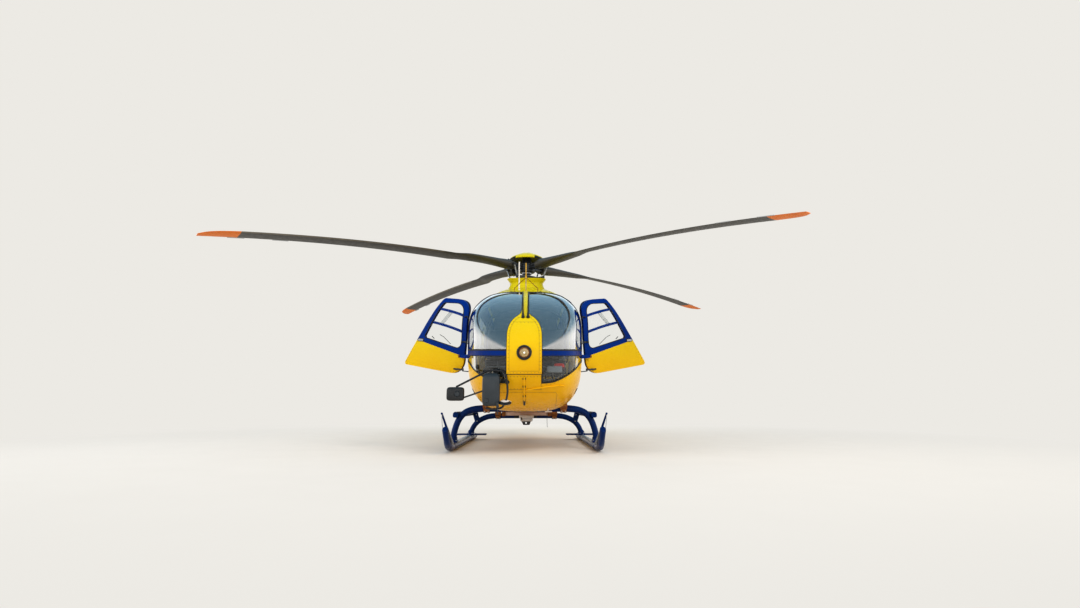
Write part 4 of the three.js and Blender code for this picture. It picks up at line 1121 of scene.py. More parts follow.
def cabin_doors():
    whole = cut(skin(0, WALL, side_tool(grown(SLIDING_DOOR, -0.0015))),
                side_tool(SLIDING_WINDOW))
    two_tone(whole, "cabin_door", "sliding_door")
    glazed(SLIDING_WINDOW, "glass", "cabin_door_pane", "sliding_door_glass")
    window_trim(SLIDING_WINDOW, "cabin_door_window_seal")
    # A sliding pane's frame in the window
    pane_frame = skin(0.001, 0.016, ring_tool(
        rounded([(-0.62, 1.55, 0.04), (-0.62, 1.86, 0.04), (-0.12, 1.86, 0.04), (-0.12, 1.55, 0.04)]),
        0.009, 0.007))
    both_sides(pane_frame, "black", "cabin_door_sliding_pane_frame")

    y, z = -1.17, 1.2
    recess = rounded([(y - 0.045, z - 0.05, 0.02), (y + 0.105, z - 0.05, 0.02),
                      (y + 0.105, z + 0.05, 0.02), (y - 0.045, z + 0.05, 0.02)])
    both_sides(skin(-0.0015, 0.012, side_tool(recess)), "black", "cabin_door_handle_plate")
    lever = rounded([(y - 0.025, z - 0.014, 0.01), (y + 0.09, z - 0.018, 0.014), (y + 0.09, z + 0.014, 0.014),
                     (y - 0.025, z + 0.014, 0.01)])
    both_sides(skin(-0.013, -0.0005, side_tool(lever)), "steel", "cabin_door_handle")

    # Rails that the door runs back on, and the arms that hold it
    def rail(z, start, end, height, proud):
        outline = rounded([(start, z, 0.01), (end, z, 0.01), (end, z + height, 0.01),
                           (start, z + height, 0.01)])
        return skin(-proud, 0.004, side_tool(outline))
    slot = merged("rails", [rail(1.345, 0.36, 1.5, 0.03, 0.011), rail(2.075, -0.2, 1.25, 0.014, 0.009)])
    both_sides(slot, "steel", "cabin_door_rails")
    arms = []
    for y, z in ((0.2, 1.36), (-0.9, 2.064)):
        p = side_point(y, z)
        arm = box((-0.04, -0.018, -0.003), (0.075, 0.018, 0.008), 0.004)
        arms.append(repeated("arm", arm, [
            Matrix.Translation(p) @ Matrix((Vector((0, 1, 0)), pod_normal(p).cross(Vector((0, 1, 0))),
                                            pod_normal(p))).transposed().to_4x4()]))
    both_sides(merged("arms", arms), "dark_steel", "cabin_door_arms")


def roof():
    outline = [(PILLAR_Y, EAVE_Z + TOUCH), (REAR_DOOR_Y + TOUCH, EAVE_Z + TOUCH),
               (REAR_DOOR_Y + TOUCH, REAR_DOOR_TOP), (3.0, REAR_DOOR_TOP), (3.0, 2.6), (PILLAR_Y, 2.6)]
    made = cut(skin(0, WALL, prism(outline, "x", -1, 1)), windshield_tool(),
               arch_tool(ARCH_GAP), loft("tool", boom_rings(-TOUCH, 2.3497)))
    put(made, "yellow", name="cabin_roof_panel", stands_for="cabin_roof")
    points = []
    for side in (1, -1):
        for y in np.linspace(-1.6, 1.75, 72):
            points.append(side_point(y, 2.14, side))
    for x in np.linspace(-0.55, 0.55, 23):
        points.append(roof_point(x, -1.72))
    matrices = [on_skin(p) for p in points]
    put(repeated("roof_rivets", rivet(), matrices), "dark_steel")


# The front doors, drawn shut and turned open about their leaning hinges
DOOR_OPEN = 65


def door_matrix(side):
    point = Vector((side * FRONT_HINGE[0], *FRONT_HINGE[1:]))
    axis = Vector((side * math.sin(FRONT_LEAN), 0, math.cos(FRONT_LEAN)))
    turn = Matrix.Rotation(math.radians(-side * DOOR_OPEN), 4, axis)
    return Matrix.Translation(point) @ turn @ Matrix.Translation(-point)


DOOR = {"body": "door_front", "matrix": door_matrix}


def front_doors():
    whole = cut(skin(0, WALL, side_tool(FRONT_DOOR)), side_tool(FRONT_DOOR_WINDOW))
    two_tone(whole, "front_door", "front_door", **DOOR)
    glazed(FRONT_DOOR_WINDOW, "door_glass", "front_door_pane", "front_door_glass", **DOOR)
    window_trim(FRONT_DOOR_WINDOW, "front_door_window_seal", 0.003, 0.007, **DOOR)
    bars = [bar_outline((-1.69, 1.898), (-2.155, 1.805), 0.035, -0.012),
            bar_outline((-1.59, 1.708), (-2.18, 1.578), 0.035, -0.014)]
    pieces = [skin(GLASS_IN + TOUCH, 0.032, side_tool(bar),
                   prism(grown(FRONT_DOOR_WINDOW, 0.008), "x", 0, 1.1)) for bar in bars]
    both_sides(merged("bars", pieces), "blue", "front_door_bars", **DOOR)
    both_sides(hinge_straps(FRONT_ROWS, hinge_place(FRONT_HINGE, FRONT_LEAN)), "dark_steel",
               "front_door_hinge_straps", **DOOR)
    lining = cut(skin(WALL - 0.001, WALL + 0.007, side_tool(grown(FRONT_DOOR, -0.03))),
                 side_tool(grown(FRONT_DOOR_WINDOW, 0.02)))
    both_sides(lining, "lining", "front_door_lining", **DOOR)
    # Rubber round the door's edge, inside
    seal = skin(0.02, 0.04, ring_tool(grown(FRONT_DOOR, -0.004), 0.005, 0.003))
    both_sides(seal, "rubber", "front_door_edge_seal", **DOOR)
    # The pane's handle strap and small sliding pane
    strap = meet(shell(GLASS_IN + 0.004, 0.022),
                 side_tool(bar_outline((-1.93, 1.85), (-1.79, 1.665), 0.05)))
    both_sides(strap, "pale_grey", "front_door_window_strap", **DOOR)
    for name, points, radius in (
            ("rail", [(-1.98, 1.41), (-1.86, 1.5), (-1.79, 1.53)], 0.0035),
            ("catch", [(-1.7, 1.47), (-1.66, 1.5)], 0.005)):
        line = [side_point(y, z, 1, GLASS_IN + 0.004) for y, z in points]
        both_sides(tube(line, radius, 10), "black", f"front_door_window_{name}", **DOOR)

    # Handle in its recess outside, and a pull inside
    recess = rounded([(-1.535, 1.418, 0.01), (-1.432, 1.418, 0.01), (-1.444, 1.462, 0.01),
                      (-1.535, 1.462, 0.01)])
    plate = skin(-0.0012, 0.012, side_tool(recess))
    both_sides(plate, "black", "front_door_handle_plate", **DOOR)
    lever = skin(-0.01, -0.0005, side_tool(rounded([
        (-1.528, 1.428, 0.006), (-1.444, 1.425, 0.009), (-1.449, 1.455, 0.009), (-1.528, 1.452, 0.006)])))
    both_sides(lever, "steel", "front_door_handle", **DOOR)
    pull = [side_point(y, z, 1, inset) for y, z, inset in (
        (-1.45, 1.2, WALL), (-1.45, 1.2, WALL + 0.04), (-1.52, 1.2, WALL + 0.05), (-1.62, 1.2, WALL + 0.05),
        (-1.69, 1.2, WALL + 0.04), (-1.69, 1.2, WALL))]
    both_sides(tube(spline(pull, 5), 0.011, 14), "black", "front_door_pull", **DOOR)
    hook = []
    for y, z in ((-2.17, 1.79), (-2.2, 1.8), (-2.225, 1.79), (-2.238, 1.765)):
        hook.append(side_point(y, z, 1, 0.0) + Vector((0.012, 0, 0)))
    both_sides(tube(spline(hook, 5), 0.008, 12), "black", "front_door_upper_arc", **DOOR)

    rivets = riveted("rivets", [grown(FRONT_DOOR, -0.014)], 0.05, side_point)
    both_sides(rivets, "dark_steel", "front_door_rivets", **DOOR)


# Rear clamshell doors
REAR_DOOR_WINDOW = rounded([(0.56, 1.24, 0.07), (0.56, 1.64, 0.09), (0.09, 1.66, 0.07), (0.09, 1.22, 0.07)])
REAR = {"body": "door_rear"}


def rear_doors():
    panel = cut(skin(0, WALL, x_box(REAR_DOOR_Y + DOOR_GAP, 3, SILL_Z + 0.01, REAR_DOOR_TOP - DOOR_GAP,
                                           0.004, 1)), prism(REAR_DOOR_WINDOW, "y", 2.3, 3))
    both_sides(panel, "yellow", "rear_door_panel", "rear_door", **REAR)
    glazed(REAR_DOOR_WINDOW, "glass", "rear_door_pane", "rear_door_glass", "y", 2.3, 3, **REAR)
    window_trim(REAR_DOOR_WINDOW, "rear_door_window_seal", 0.007, 0.012, "y", 2.3, 3.0, **REAR)
    both_sides(hinge_straps(REAR_ROWS, hinge_place(REAR_HINGE, REAR_LEAN)), "dark_steel",
               "rear_door_hinge_straps", **REAR)
    at = strike((0.06, 3.1, 1.12), (0, -1, 0))
    place = on_skin(at)
    handle = merged("handle", [box((-0.03, -0.06, -0.004), (0.03, 0.06, 0.004), 0.003),
                               box((-0.011, -0.05, 0.004), (0.011, 0.045, 0.017), 0.005)])
    handle.data.transform(place)
    both_sides(handle, "black", "rear_door_handle", **REAR)


# Tail boom
BOOM_ROUNDNESS = 2.3
# Stations: y, half width, half height, z of the middle
BOOM = [(2.35, 0.29, 0.3, 2.135), (3.3, 0.238, 0.252, 2.165), (4.4, 0.197, 0.216, 2.19),
        (5.64, 0.158, 0.186, 2.21)]


def boom_rings(inset, start, count=96):
    rows = [(start, *BOOM[0][1:]), *BOOM[1:]]
    return [oval(0, z, half - inset, high - inset, high - inset, BOOM_ROUNDNESS, y, count)
            for y, half, high, z in rows]


def tail_boom():
    rows = faired([[y, half, high, z] for y, half, high, z in BOOM], 30)
    outer = loft("boom", [oval(0, z, half, high, high, BOOM_ROUNDNESS, y, 96) for y, half, high, z in rows])
    inner = loft("bore", [oval(0, z, half - 0.016, high - 0.016, high - 0.016, BOOM_ROUNDNESS, y, 96)
                          for y, half, high, z in rows])
    cut(outer, meet(inner, box((-1, 2.0, 0), (1, 5.4, 4), 0)), loft("tool", wing_rings(TOUCH)),
        shroud_fill(TOUCH))
    put(outer, "yellow", name="tail_boom_skin", stands_for="tail_boom")
    rivets, rings = [], []
    for y in (2.5, 3.05, 3.6, 4.15, 4.95, 5.3):
        row = np.array([np.interp(y, rows[:, 0], rows[:, k]) for k in (1, 2, 3)])
        ring = oval(0, row[2], row[0], row[1], row[1], BOOM_ROUNDNESS, y, 48)
        for p, ahead in zip(ring, np.roll(ring, -1, axis=0)):
            outward = Vector((ahead - p)).cross(Vector((0, 1, 0)))
            outward = outward if outward.dot(Vector(p) - Vector((0, y, row[2]))) > 0 else -outward
            rivets.append(standing(p, outward))
            rivets.append(standing(p + np.array((0, 0.035, 0)), outward))
        band = [oval(0, row[2], row[0] + grow, row[1] + grow, row[1] + grow, BOOM_ROUNDNESS, y + at, 96)
                for at, grow in ((0.0165, -0.002), (0.0165, 0.0007), (0.0195, 0.0007), (0.0195, -0.002))]
        rings.append(loft("ring", band))
    put(repeated("tail_boom_rivets", rivet(), rivets), "dark_steel")
    put(merged("tail_boom_joints", rings), "seam")
    # A blue line along each side of the boom, carried on from the belt
    strips = []
    for side in (1, -1):
        strip = []
        for y in np.linspace(2.42, 5.3, 40):
            half, high, z = (np.interp(y, rows[:, 0], rows[:, k]) for k in (1, 2, 3))
            corners = []
            for height in (-0.045, -0.015, 0.015, 0.045):
                reach = (1 - (abs(height) / high) ** BOOM_ROUNDNESS) ** (1 / BOOM_ROUNDNESS)
                corners.append((side * (half * reach + 0.0008), y, z + height))
            for height in (0.045, -0.045):
                reach = (1 - (abs(height) / high) ** BOOM_ROUNDNESS) ** (1 / BOOM_ROUNDNESS)
                corners.append((side * (half * reach - 0.004), y, z + height))
            strip.append(corners)
        strips.append(loft("strip", strip))
    put(merged("tail_boom_line", strips), "blue")
    # Driveshaft cover along the top
    cover = [oval(0, np.interp(y, rows[:, 0], rows[:, 3]) + np.interp(y, rows[:, 0], rows[:, 2]) - 0.012,
                  0.07, 0.034, 0.03, 2.6, y, 40) for y in np.linspace(3.0, 5.42, 24)]
    put(loft("drive_cover", cover), "yellow")


# Stabiliser, end plates, fin
# Stations: x, leading edge, trailing edge, thickness
STABILISER = [(-1.3, 4.4, 4.88, 0.058), (0, 4.38, 4.9, 0.066), (1.3, 4.4, 4.88, 0.058)]
STABILISER_Z, STABILISER_MIDDLE = 2.2, 4.64


def aerofoil(lead, trail, thick, count, power=0.4):
    """Points (along, up) of a wing's section, blunt ahead and thin behind."""
    angle = (np.arange(count) + 0.5) / count * 2 * math.pi
    along = (lead + trail) / 2 + (lead - trail) / 2 * np.cos(angle)
    return along, 0.5 * thick * np.sin(angle) * (0.52 + 0.48 * np.cos(angle)) ** power


def wing_rings(grow=0.0, count=64):
    rings = []
    for x, lead, trail, thick in STABILISER:
        y, up = aerofoil(lead, trail, thick, count)
        y = np.where(y < STABILISER_MIDDLE, y - grow, y + grow)
        rings.append(np.stack([np.full(count, x), y, STABILISER_Z + up + np.sign(up) * grow], axis=1))
    return np.array(rings)


def aligned_to_fan(made):
    """Turns a part made about Z to the fan's axis along X."""
    made.data.transform(placed((0, FAN_Y, FAN_Z), 90, "Y"))
    return made


RIM = [(0.575, 0.165), (0.632, 0.118), (SHROUD_RADIUS, 0), (0.632, -0.118), (0.575, -0.165)]


def shroud_fill(gap):
    profile = [(0, -0.166)] + [(r + gap, x) for r, x in RIM][::-1] + [(0, 0.166)]
    return aligned_to_fan(lathe(profile, 96))


def fan_bore(radius, half=0.4):
    return aligned_to_fan(lathe(rectangle(0, -half, radius, half), 96))


def tail_surfaces():
    put(loft("stabiliser_skin", wing_rings()), "yellow", stands_for="stabiliser")
    tabs = []
    for side in (1, -1):
        for x in (0.45, 0.9):
            tabs.append(box((side * x - 0.1, 4.86, STABILISER_Z - 0.006),
                            (side * x + 0.1, 4.915, STABILISER_Z + 0.002), 0.0015))
    put(merged("stabiliser_tabs", tabs), "yellow")
    plate_outline = rounded([(4.33, 1.76, 0.06), (4.87, 1.74, 0.09), (5.01, 2.7, 0.06), (4.7, 2.72, 0.12)])
    layers = [prism(grown(plate_outline, -trim), "x", start, end) for trim, start, end in (
        (0.006, 1.3003, 1.3015), (0.0, 1.3015, 1.3265), (0.004, 1.3265, 1.329), (0.012, 1.329, 1.33))]
    both_sides(merged("end_plate", layers), "yellow", "end_plate_skin", "end_plate")
    band = prism(rounded([(4.5, 2.28, 0.02), (4.92, 2.27, 0.02), (4.96, 2.5, 0.02), (4.6, 2.51, 0.02)]),
                 "x", 1.3292, 1.331)
    both_sides(band, "blue", "end_plate_band")
    bolts = [placed((1.33, y, z), 90, "Y")
             for y in (4.46, 4.64, 4.82) for z in (2.16, 2.24)]
    both_sides(repeated("bolts", rivet(), bolts), "dark_steel", "end_plate_bolts")

    fin_rows = [(2.29, 5.47, 6.7, 0.19), (2.62, 5.72, 6.77, 0.16), (3.0, 6.01, 6.87, 0.118),
                (3.42, 6.34, 6.995, 0.08), (3.5, 6.44, 7.055, 0.05)]
    rings = []
    for z, lead, trail, thick in faired(fin_rows, 34):
        y, up = aerofoil(lead, trail, thick, 72)
        rings.append(np.stack([up, y, np.full(72, z)], axis=1))
    made = cut(loft("fin_skin", rings), shroud_fill(TOUCH), loft("tool", boom_rings(-TOUCH, 2.35)),
               fan_bore(SHROUD_RADIUS - 0.04))
    split_looks(made, ("yellow", "blue"), lambda centre, normal: "blue" if centre.z > 3.12 else "yellow")
    put(made, "yellow", stands_for="fin", keep_materials=True)
    wicks = []
    for z in (2.9, 3.15, 3.38):
        trail = np.interp(z, [row[0] for row in fin_rows], [row[2] for row in fin_rows])
        wicks.append(rod((0, trail - 0.01, z), (0, trail + 0.07, z - 0.008), 0.0025, 8))
    put(merged("static_wicks", wicks), "black")
    light = lathe([(0, -0.01), (0.032, -0.01), (0.034, 0.008), (0.03, 0.022), (0.018, 0.034), (0, 0.038)],
                  32, Matrix.Translation((0, 6.68, 3.498)))
    put(light, "red_lens", name="fin_light")


# Ducted fan
def fan_blades(number, x, twist, sections, count):
    """Blades evenly round the X axis through sections of (distance from the axis, width, thickness)."""
    made = []
    for k in range(number):
        rings = []
        for z, width, thick in sections:
            across, up = aerofoil(width / 2, -width / 2, thick, count)
            rings.append(np.stack([across, up, np.full(count, z)], axis=1))
        made.append(moved(loft("blade", rings), turned(360 / number * k, "X") @ placed((x, 0, 0), twist)))
    return made


def fan():
    rim = [(0.505, -0.108), (0.505, 0.108), (0.512, 0.128), (0.53, 0.148), (0.552, 0.16), (0.575, 0.165),
           (0.605, 0.149), (0.632, 0.118), (0.65, 0.065), (SHROUD_RADIUS, 0), (0.65, -0.065), (0.632, -0.118),
           (0.605, -0.149), (0.575, -0.165), (0.552, -0.16), (0.53, -0.148), (0.512, -0.128), (0.505, -0.108)]
    ring = aligned_to_fan(lathe(rim, 144))
    bumper = rounded([(5.76, 1.23, 0), (6.42, 1.23, 0), (6.52, 1.075, 0.03), (6.48, 1.02, 0.025),
                      (6.12, 1.075, 0.06)])
    layers = [cut(prism(grown(bumper, -trim), "x", -half, half), fan_bore(DUCT_RADIUS + 0.06))
              for trim, half in ((0.0, 0.018), (0.004, 0.023), (0.009, 0.026))]
    put(merged("fan_shroud_skin", [ring, *layers]), "yellow", stands_for="fan_shroud")
    bolts = []
    for side in (1, -1):
        for k in range(48):
            angle = 2 * math.pi * k / 48
            at = (side * 0.162, FAN_Y + 0.583 * math.cos(angle), FAN_Z + 0.583 * math.sin(angle))
            bolts.append(placed(at, 90 * side, "Y"))
    put(repeated("fan_shroud_bolts", rivet(), bolts), "dark_steel")
    liner = aligned_to_fan(lathe([(0.5046, -0.1), (0.5054, -0.1), (0.5054, 0.1), (0.5046, 0.1),
                                  (0.5046, -0.1)], 144))
    put(liner, "grey", name="fan_duct_liner")

    vanes = fan_blades(9, 0.07, 10, ((0.09, 0.06, 0.012), (0.3, 0.058, 0.012), (0.5035, 0.056, 0.011)), 24)
    turn = turned(90, "Y")
    body = [lathe([(0, 0.0043), (0.032, 0.0043), (0.032, 0.04), (0.11, 0.041), (0.126, 0.05), (0.128, 0.07),
                   (0.122, 0.1), (0.11, 0.113), (0.09, 0.1155), (0, 0.1155)], 72, turn)]
    stator = merged("stator", vanes + body)
    stator.data.transform(Matrix.Translation((0, FAN_Y, FAN_Z)))
    put(stator, "grey", name="fan_stator_vanes", stands_for="fan_stator")

    blades = fan_blades(10, -0.028, 35, ((0.09, 0.05, 0.02), (0.14, 0.07, 0.014), (0.2, 0.088, 0.012),
                                         (0.35, 0.088, 0.011), (0.492, 0.086, 0.009)), 28)
    body = [lathe([(0, -0.09), (0.036, -0.09), (0.05, -0.078), (0.1, -0.06), (0.126, -0.045), (0.134, -0.02),
                   (0.13, -0.002), (0.118, 0.0038), (0, 0.0038)], 72, turn)]
    spinner = merged("spinner", blades + body)
    spinner.data.transform(Matrix.Translation((0, FAN_Y, FAN_Z)))
    put(spinner, "dark_steel", "tail_rotor", "tail_fan", "fan_rotor")


# Mast fairing and cowling on the roof; the collar's rows are half width, half length and height
COLLAR_TOP = 2.78
COLLAR_OUT = [(0.378, 0.484, 2.48), (0.362, 0.466, 2.548), (0.334, 0.442, 2.59), (0.316, 0.424, 2.62),
              (0.3, 0.404, 2.66), (0.288, 0.391, 2.698), (0.285, 0.388, 2.71)]
COLLAR_LIP = [(0.3425, 0.4315, COLLAR_TOP - 0.008), (0.344, 0.433, COLLAR_TOP - 0.006),
              (0.344, 0.433, COLLAR_TOP)]
COLLAR_IN = [(0.336, 0.446, 2.47), (0.31, 0.425, 2.56), (0.28, 0.386, 2.64), (0.264, 0.366, 2.698),
             (0.264, 0.366, 2.712), (0.324, 0.412, COLLAR_TOP + 0.006)]
COLLAR_NECK = 2.712
COLLAR_POWER, COWLING_POWER = 7, 2.7
# Stations: y, half width, top, bottom, and 1 where the hollow is open below
COWLING = [(-1.3, 0.1, 2.335, 2.15, 1), (-1.12, 0.32, 2.39, 2.1, 1), (-0.8, 0.5, 2.502, 2.05, 1),
           (-0.4, 0.6, 2.602, 2.0, 1), (0, 0.64, 2.652, 2.0, 1), (0.5, 0.66, 2.7, 2.0, 1),
           (1.1, 0.665, 2.74, 2.0, 1), (1.7, 0.62, 2.73, 2.0, 1), (2.2, 0.48, 2.63, 2.08, 0),
           (2.6, 0.35, 2.51, 2.06, 0), (2.96, 0.292, 2.432, 2.08, 0)]
EXHAUST_FROM, EXHAUST_TO = Vector((0.252, 1.662, 2.51)), Vector((0.42, 2.52, 2.61))


def collar_loft(rows, grow=0.0):
    """The lip above the neck flares at its front and runs out to the sides."""
    neck = min(half for half, *_ in rows)
    rings = []
    for half, length, z in rows:
        ring = oval(0, 0, half + grow, length + grow, length + grow, COLLAR_POWER, 0, 176)
        if z > COLLAR_NECK:
            share = np.clip((-0.22 - ring[:, 2]) / 0.11, 0, 1)
            ring[:, 0] *= (neck + (half - neck) * share * (2 - share)) / half
        rings.append(np.stack([ring[:, 0], ring[:, 2], np.full(len(ring), z)], axis=1))
    return loft("collar", rings)


def collar_rows():
    return [tuple(row) for row in spline(COLLAR_OUT, 6)] + COLLAR_LIP


def cowling_body(inset=0.0):
    rows = faired([row[:4] for row in COWLING], 60)
    return loft("cowling", [oval(0, 2.3, half - inset, top - inset - 2.3, 2.3 - bottom, COWLING_POWER, y, 120)
                            for y, half, top, bottom in rows])


def cowling_hollow():
    rows = faired(COWLING[1:-1], 50)
    return loft("hollow", [oval(0, 2.3, half - 0.03, top - 2.33,
                                2.3 - bottom + (0.2 if is_open > 0.5 else -0.03),
                                COWLING_POWER, y, 96) for y, half, top, bottom, is_open in rows])


def exhaust_tool(radius, side, beyond=0.0):
    along = (EXHAUST_TO - EXHAUST_FROM).normalized() * beyond
    start, end = EXHAUST_FROM - along, EXHAUST_TO + along
    ends = [Vector((side * p.x, p.y, p.z)) for p in (start, end)]
    return lathe([(0, 0), (radius, 0), (radius, (ends[1] - ends[0]).length),
                  (0, (ends[1] - ends[0]).length)], 64, towards(*ends))


def cowling():
    made = cut(cowling_body(), cowling_hollow(), shell(-TOUCH), collar_loft(collar_rows(), TOUCH),
               loft("tool", boom_rings(-TOUCH, 2.3497)), exhaust_tool(0.1163, 1), exhaust_tool(0.1163, -1))
    put(made, "yellow", name="cowling_skin", stands_for="cowling")
    # The engines and gearbox keep their solid under the cowling
    block = frame["nodes"]["engines_and_gearbox"]
    for material_slot in block.material_slots:
        material_slot.material = LOOKS["dark_steel"][1]


def mast_collar():
    collar = cut(collar_loft(collar_rows()), collar_loft(COLLAR_IN))
    put(collar, "yellow", name="mast_fairing_skin", stands_for="mast_fairing")
    rivets = []
    rows = np.array(collar_rows())
    for z, lean in ((2.61, 0.6), (2.69, 0.3)):
        half, length = (float(np.interp(z, rows[:, 2], rows[:, k])) for k in (0, 1))
        ring = oval(0, 0, half, length, length, COLLAR_POWER, 0, 72)
        rivets += [standing((x, y, z), (x * abs(x), y * abs(y), lean * 0.1)) for x, _, y in ring]
    put(repeated("mast_fairing_rivets", rivet(), rivets), "dark_steel")


def hatch_joints():
    outside = cut(cowling_body(-0.0007), cowling_body(0.003))
    lines = [prism(rectangle(y, 2.0, y + 0.004, 3.0), "x", -1, 1)
             for y in (-0.72, 0.72, 1.5, 2.12)]
    lines += [prism(rectangle(-0.72, 2.43, 2.12, 2.434), "x", side * 0.2, side * 1.0)
              for side in (1, -1)]
    strip = merged("cowling_joints", [meet(copied(outside), line) for line in lines])
    removed(outside)
    put(cut(strip, shell(0.004)), "seam")


def intakes():
    """Frames, slats and dark backs of the intakes on the cowling's sides."""
    grilles, frames = [], []
    body = cut(cowling_body(-0.008), cowling_body(0.004))
    windows = [rounded([(y0, z0, 0.03), (y1, z0, 0.03), (y1 - 0.04, z1, 0.03), (y0 + 0.04, z1, 0.03)])
               for y0, y1, z0, z1 in ((0.12, 0.66, 2.46, 2.6), (0.8, 1.42, 2.46, 2.62))]
    for outline in windows:
        frames.append(meet(copied(body), ring_tool(outline, 0.014, 0.0, "x", 0.2, 1.0)))
        low, high = min(z for _, z in outline), max(z for _, z in outline)
        for z in np.arange(low + 0.008, high - 0.006, 0.0125):
            slat = prism([(outline[0][0] - 0.3, z), (outline[0][0] + 1.2, z),
                          (outline[0][0] + 1.2, z + 0.005), (outline[0][0] - 0.3, z + 0.005)], "x", 0.2, 1.0)
            grilles.append(meet(copied(body), meet(slat, prism(outline, "x", 0.1, 1.1))))
    removed(body)
    both_sides(merged("frames", frames), "yellow", "intake_frames")
    both_sides(merged("slats", grilles), "dark_steel", "intake_slats")
    backing = cut(cowling_body(-0.0012), cowling_body(0.004))
    pieces = [meet(copied(backing), prism(outline, "x", 0.2, 1.0)) for outline in windows]
    removed(backing)
    both_sides(merged("backs", pieces), "black", "intake_backs")


def exhausts():
    for side_name, side in SIDES:
        start, end = (Vector((side * p.x, p.y, p.z)) for p in (EXHAUST_FROM, EXHAUST_TO))
        length = (end - start).length
        pipe = lathe([(0.104, 0), (0.116, 0), (0.116, length - 0.03), (0.1155, length - 0.012),
                      (0.1165, length - 0.004), (0.1125, length), (0.107, length - 0.003),
                      (0.104, length - 0.02), (0.104, 0)], 96, towards(start, end))
        put(pipe, "burnt", name=f"exhaust_pipe_{side_name}", stands_for=f"exhaust_{side_name}")
        clamps = [lathe([(0.1155, at), (0.1195, at + 0.002), (0.1195, at + 0.016), (0.1155, at + 0.018),
                         (0.1155, at)], 96, towards(start, end)) for at in (length * 0.62, length - 0.1)]
        put(merged("exhaust_clamps_" + side_name, clamps), "steel")


# Main rotor, drawn about its own axis; the blades cone up from the hub and then droop to their tips
ROTOR = Matrix.Translation((0, 0, HUB_Z)) @ Matrix.Rotation(MAST_TILT, 4, "X")
HEAD_Z = -0.062
CONE = 0.038
# Sections: radius, leading edge, trailing edge, thickness, taper
BLADE = [(0.33, 0.095, -0.095, 0.148, 0), (0.48, 0.118, -0.116, 0.162, 0), (0.65, 0.132, -0.128, 0.138, 0),
         (0.9, 0.15, -0.138, 0.108, 0), (1.25, 0.132, -0.15, 0.082, 0), (1.56, 0.072, -0.217, 0.04, 0.4),
         (2.4, 0.072, -0.217, 0.038, 0.4), (3.2, 0.072, -0.217, 0.036, 0.4),
         (3.95, 0.072, -0.217, 0.034, 0.4), (4.6, 0.072, -0.217, 0.03, 0.4),
         (4.85, 0.052, -0.217, 0.026, 0.4), (5.0, 0.005, -0.217, 0.02, 0.4),
         (5.1, -0.095, -0.217, 0.012, 0.4)]
TIP_PAINT = 4.66
HORN_RADIUS, HORN_OUT = 0.39, 0.15
CUFF_END, PITCH_AT_CUFF, PITCH_LOST = 1.56, 9.0, 6 / 3.29


def blade_height(r):
    fall = TIP_DROOP + HEAD_Z + CONE * (ROTOR_RADIUS - ROOT_RADIUS)
    share = (r * r - ROOT_RADIUS**2) / (ROTOR_RADIUS**2 - ROOT_RADIUS**2)
    return HEAD_Z + CONE * (r - ROOT_RADIUS) - fall * share


def blade_pitch(r):
    if r > CUFF_END:
        return math.radians(PITCH_AT_CUFF - PITCH_LOST * (r - CUFF_END))
    share = min(1, max(0, (r - 0.5) / (CUFF_END - 0.5)))
    return math.radians(PITCH_AT_CUFF * share * share * (3 - 2 * share))


def on_section(r, across, up):
    turn, lift = math.cos(blade_pitch(r)), math.sin(blade_pitch(r))
    return across * turn - up * lift, blade_height(r) + across * lift + up * turn


def blade_section(row, count=56, grow=0.0):
    r, lead, trail, thick, power = row
    angle = (np.arange(count) + 0.5) / count * 2 * math.pi
    across = (lead + trail) / 2 + (lead - trail + grow) / 2 * np.cos(angle)
    up = 0.5 * (thick + grow) * np.sin(angle) * (0.55 + 0.45 * np.cos(angle)) ** power
    return np.stack([np.full(count, r), *on_section(r, across, up)], axis=1)


def on_blade(r, across, up=0.0):
    slope = (blade_height(r + 0.01) - blade_height(r - 0.01)) / 0.02
    return Matrix.Translation((r, *on_section(r, across, up))) @ Matrix.Rotation(-math.atan(slope), 4, "Y")


def rotor_blade(number):
    rows = faired(BLADE, 140)
    made = loft("blade", [blade_section(row) for row in rows])
    lead = [row[1] for row in BLADE]
    radii = [row[0] for row in BLADE]

    def finish(centre, normal):
        if centre.x > TIP_PAINT:
            return "orange"
        worn = centre.x > 1.75 and centre.y > np.interp(centre.x, radii, lead) * 0.99 - 0.022
        return "edge" if worn else "blade"
    split_looks(made, ("blade", "edge", "orange"), finish)
    place = ROTOR @ turned(FIRST_BLADE + BLADE_STEP * (number - 1), "Z")
    put(made, "blade", "main_rotor", f"rotor_blade_{number}", f"rotor_blade_skin_{number}", place, 50, True)

    fittings = [box((HORN_RADIUS - 0.022, 0.045, HEAD_Z - 0.02), (HORN_RADIUS + 0.022, HORN_OUT + 0.018,
                                                                  HEAD_Z + 0.016), 0.007)]
    for r, across in ((0.385, 0.04), (0.385, -0.04), (0.45, 0.05), (0.45, -0.05)):
        fittings.append(lathe([(0, -0.084), (0.011, -0.084), (0.013, -0.079), (0.017, -0.077), (0.017, -0.05),
                               (0.017, 0.05), (0.017, 0.077), (0.013, 0.079), (0.011, 0.088), (0, 0.089)],
                              20, on_blade(r, across)))
    put(merged("fittings", fittings), "dark_steel", "main_rotor", name=f"blade_fittings_{number}",
        matrix=place)
    tabs = []
    for r0, r1 in ((4.02, 4.22), (4.56, 4.76)):
        rings = []
        for r in (r0, r1):
            rings.append([(r, *on_section(r, across, up))
                          for across, up in ((-0.2, 0.0022), (-0.245, 0.0012), (-0.245, -0.0012),
                                             (-0.2, -0.0022))])
        tabs.append(loft("tab", rings))
    put(merged("tabs", tabs), "steel", "main_rotor", name=f"blade_tabs_{number}", matrix=place)


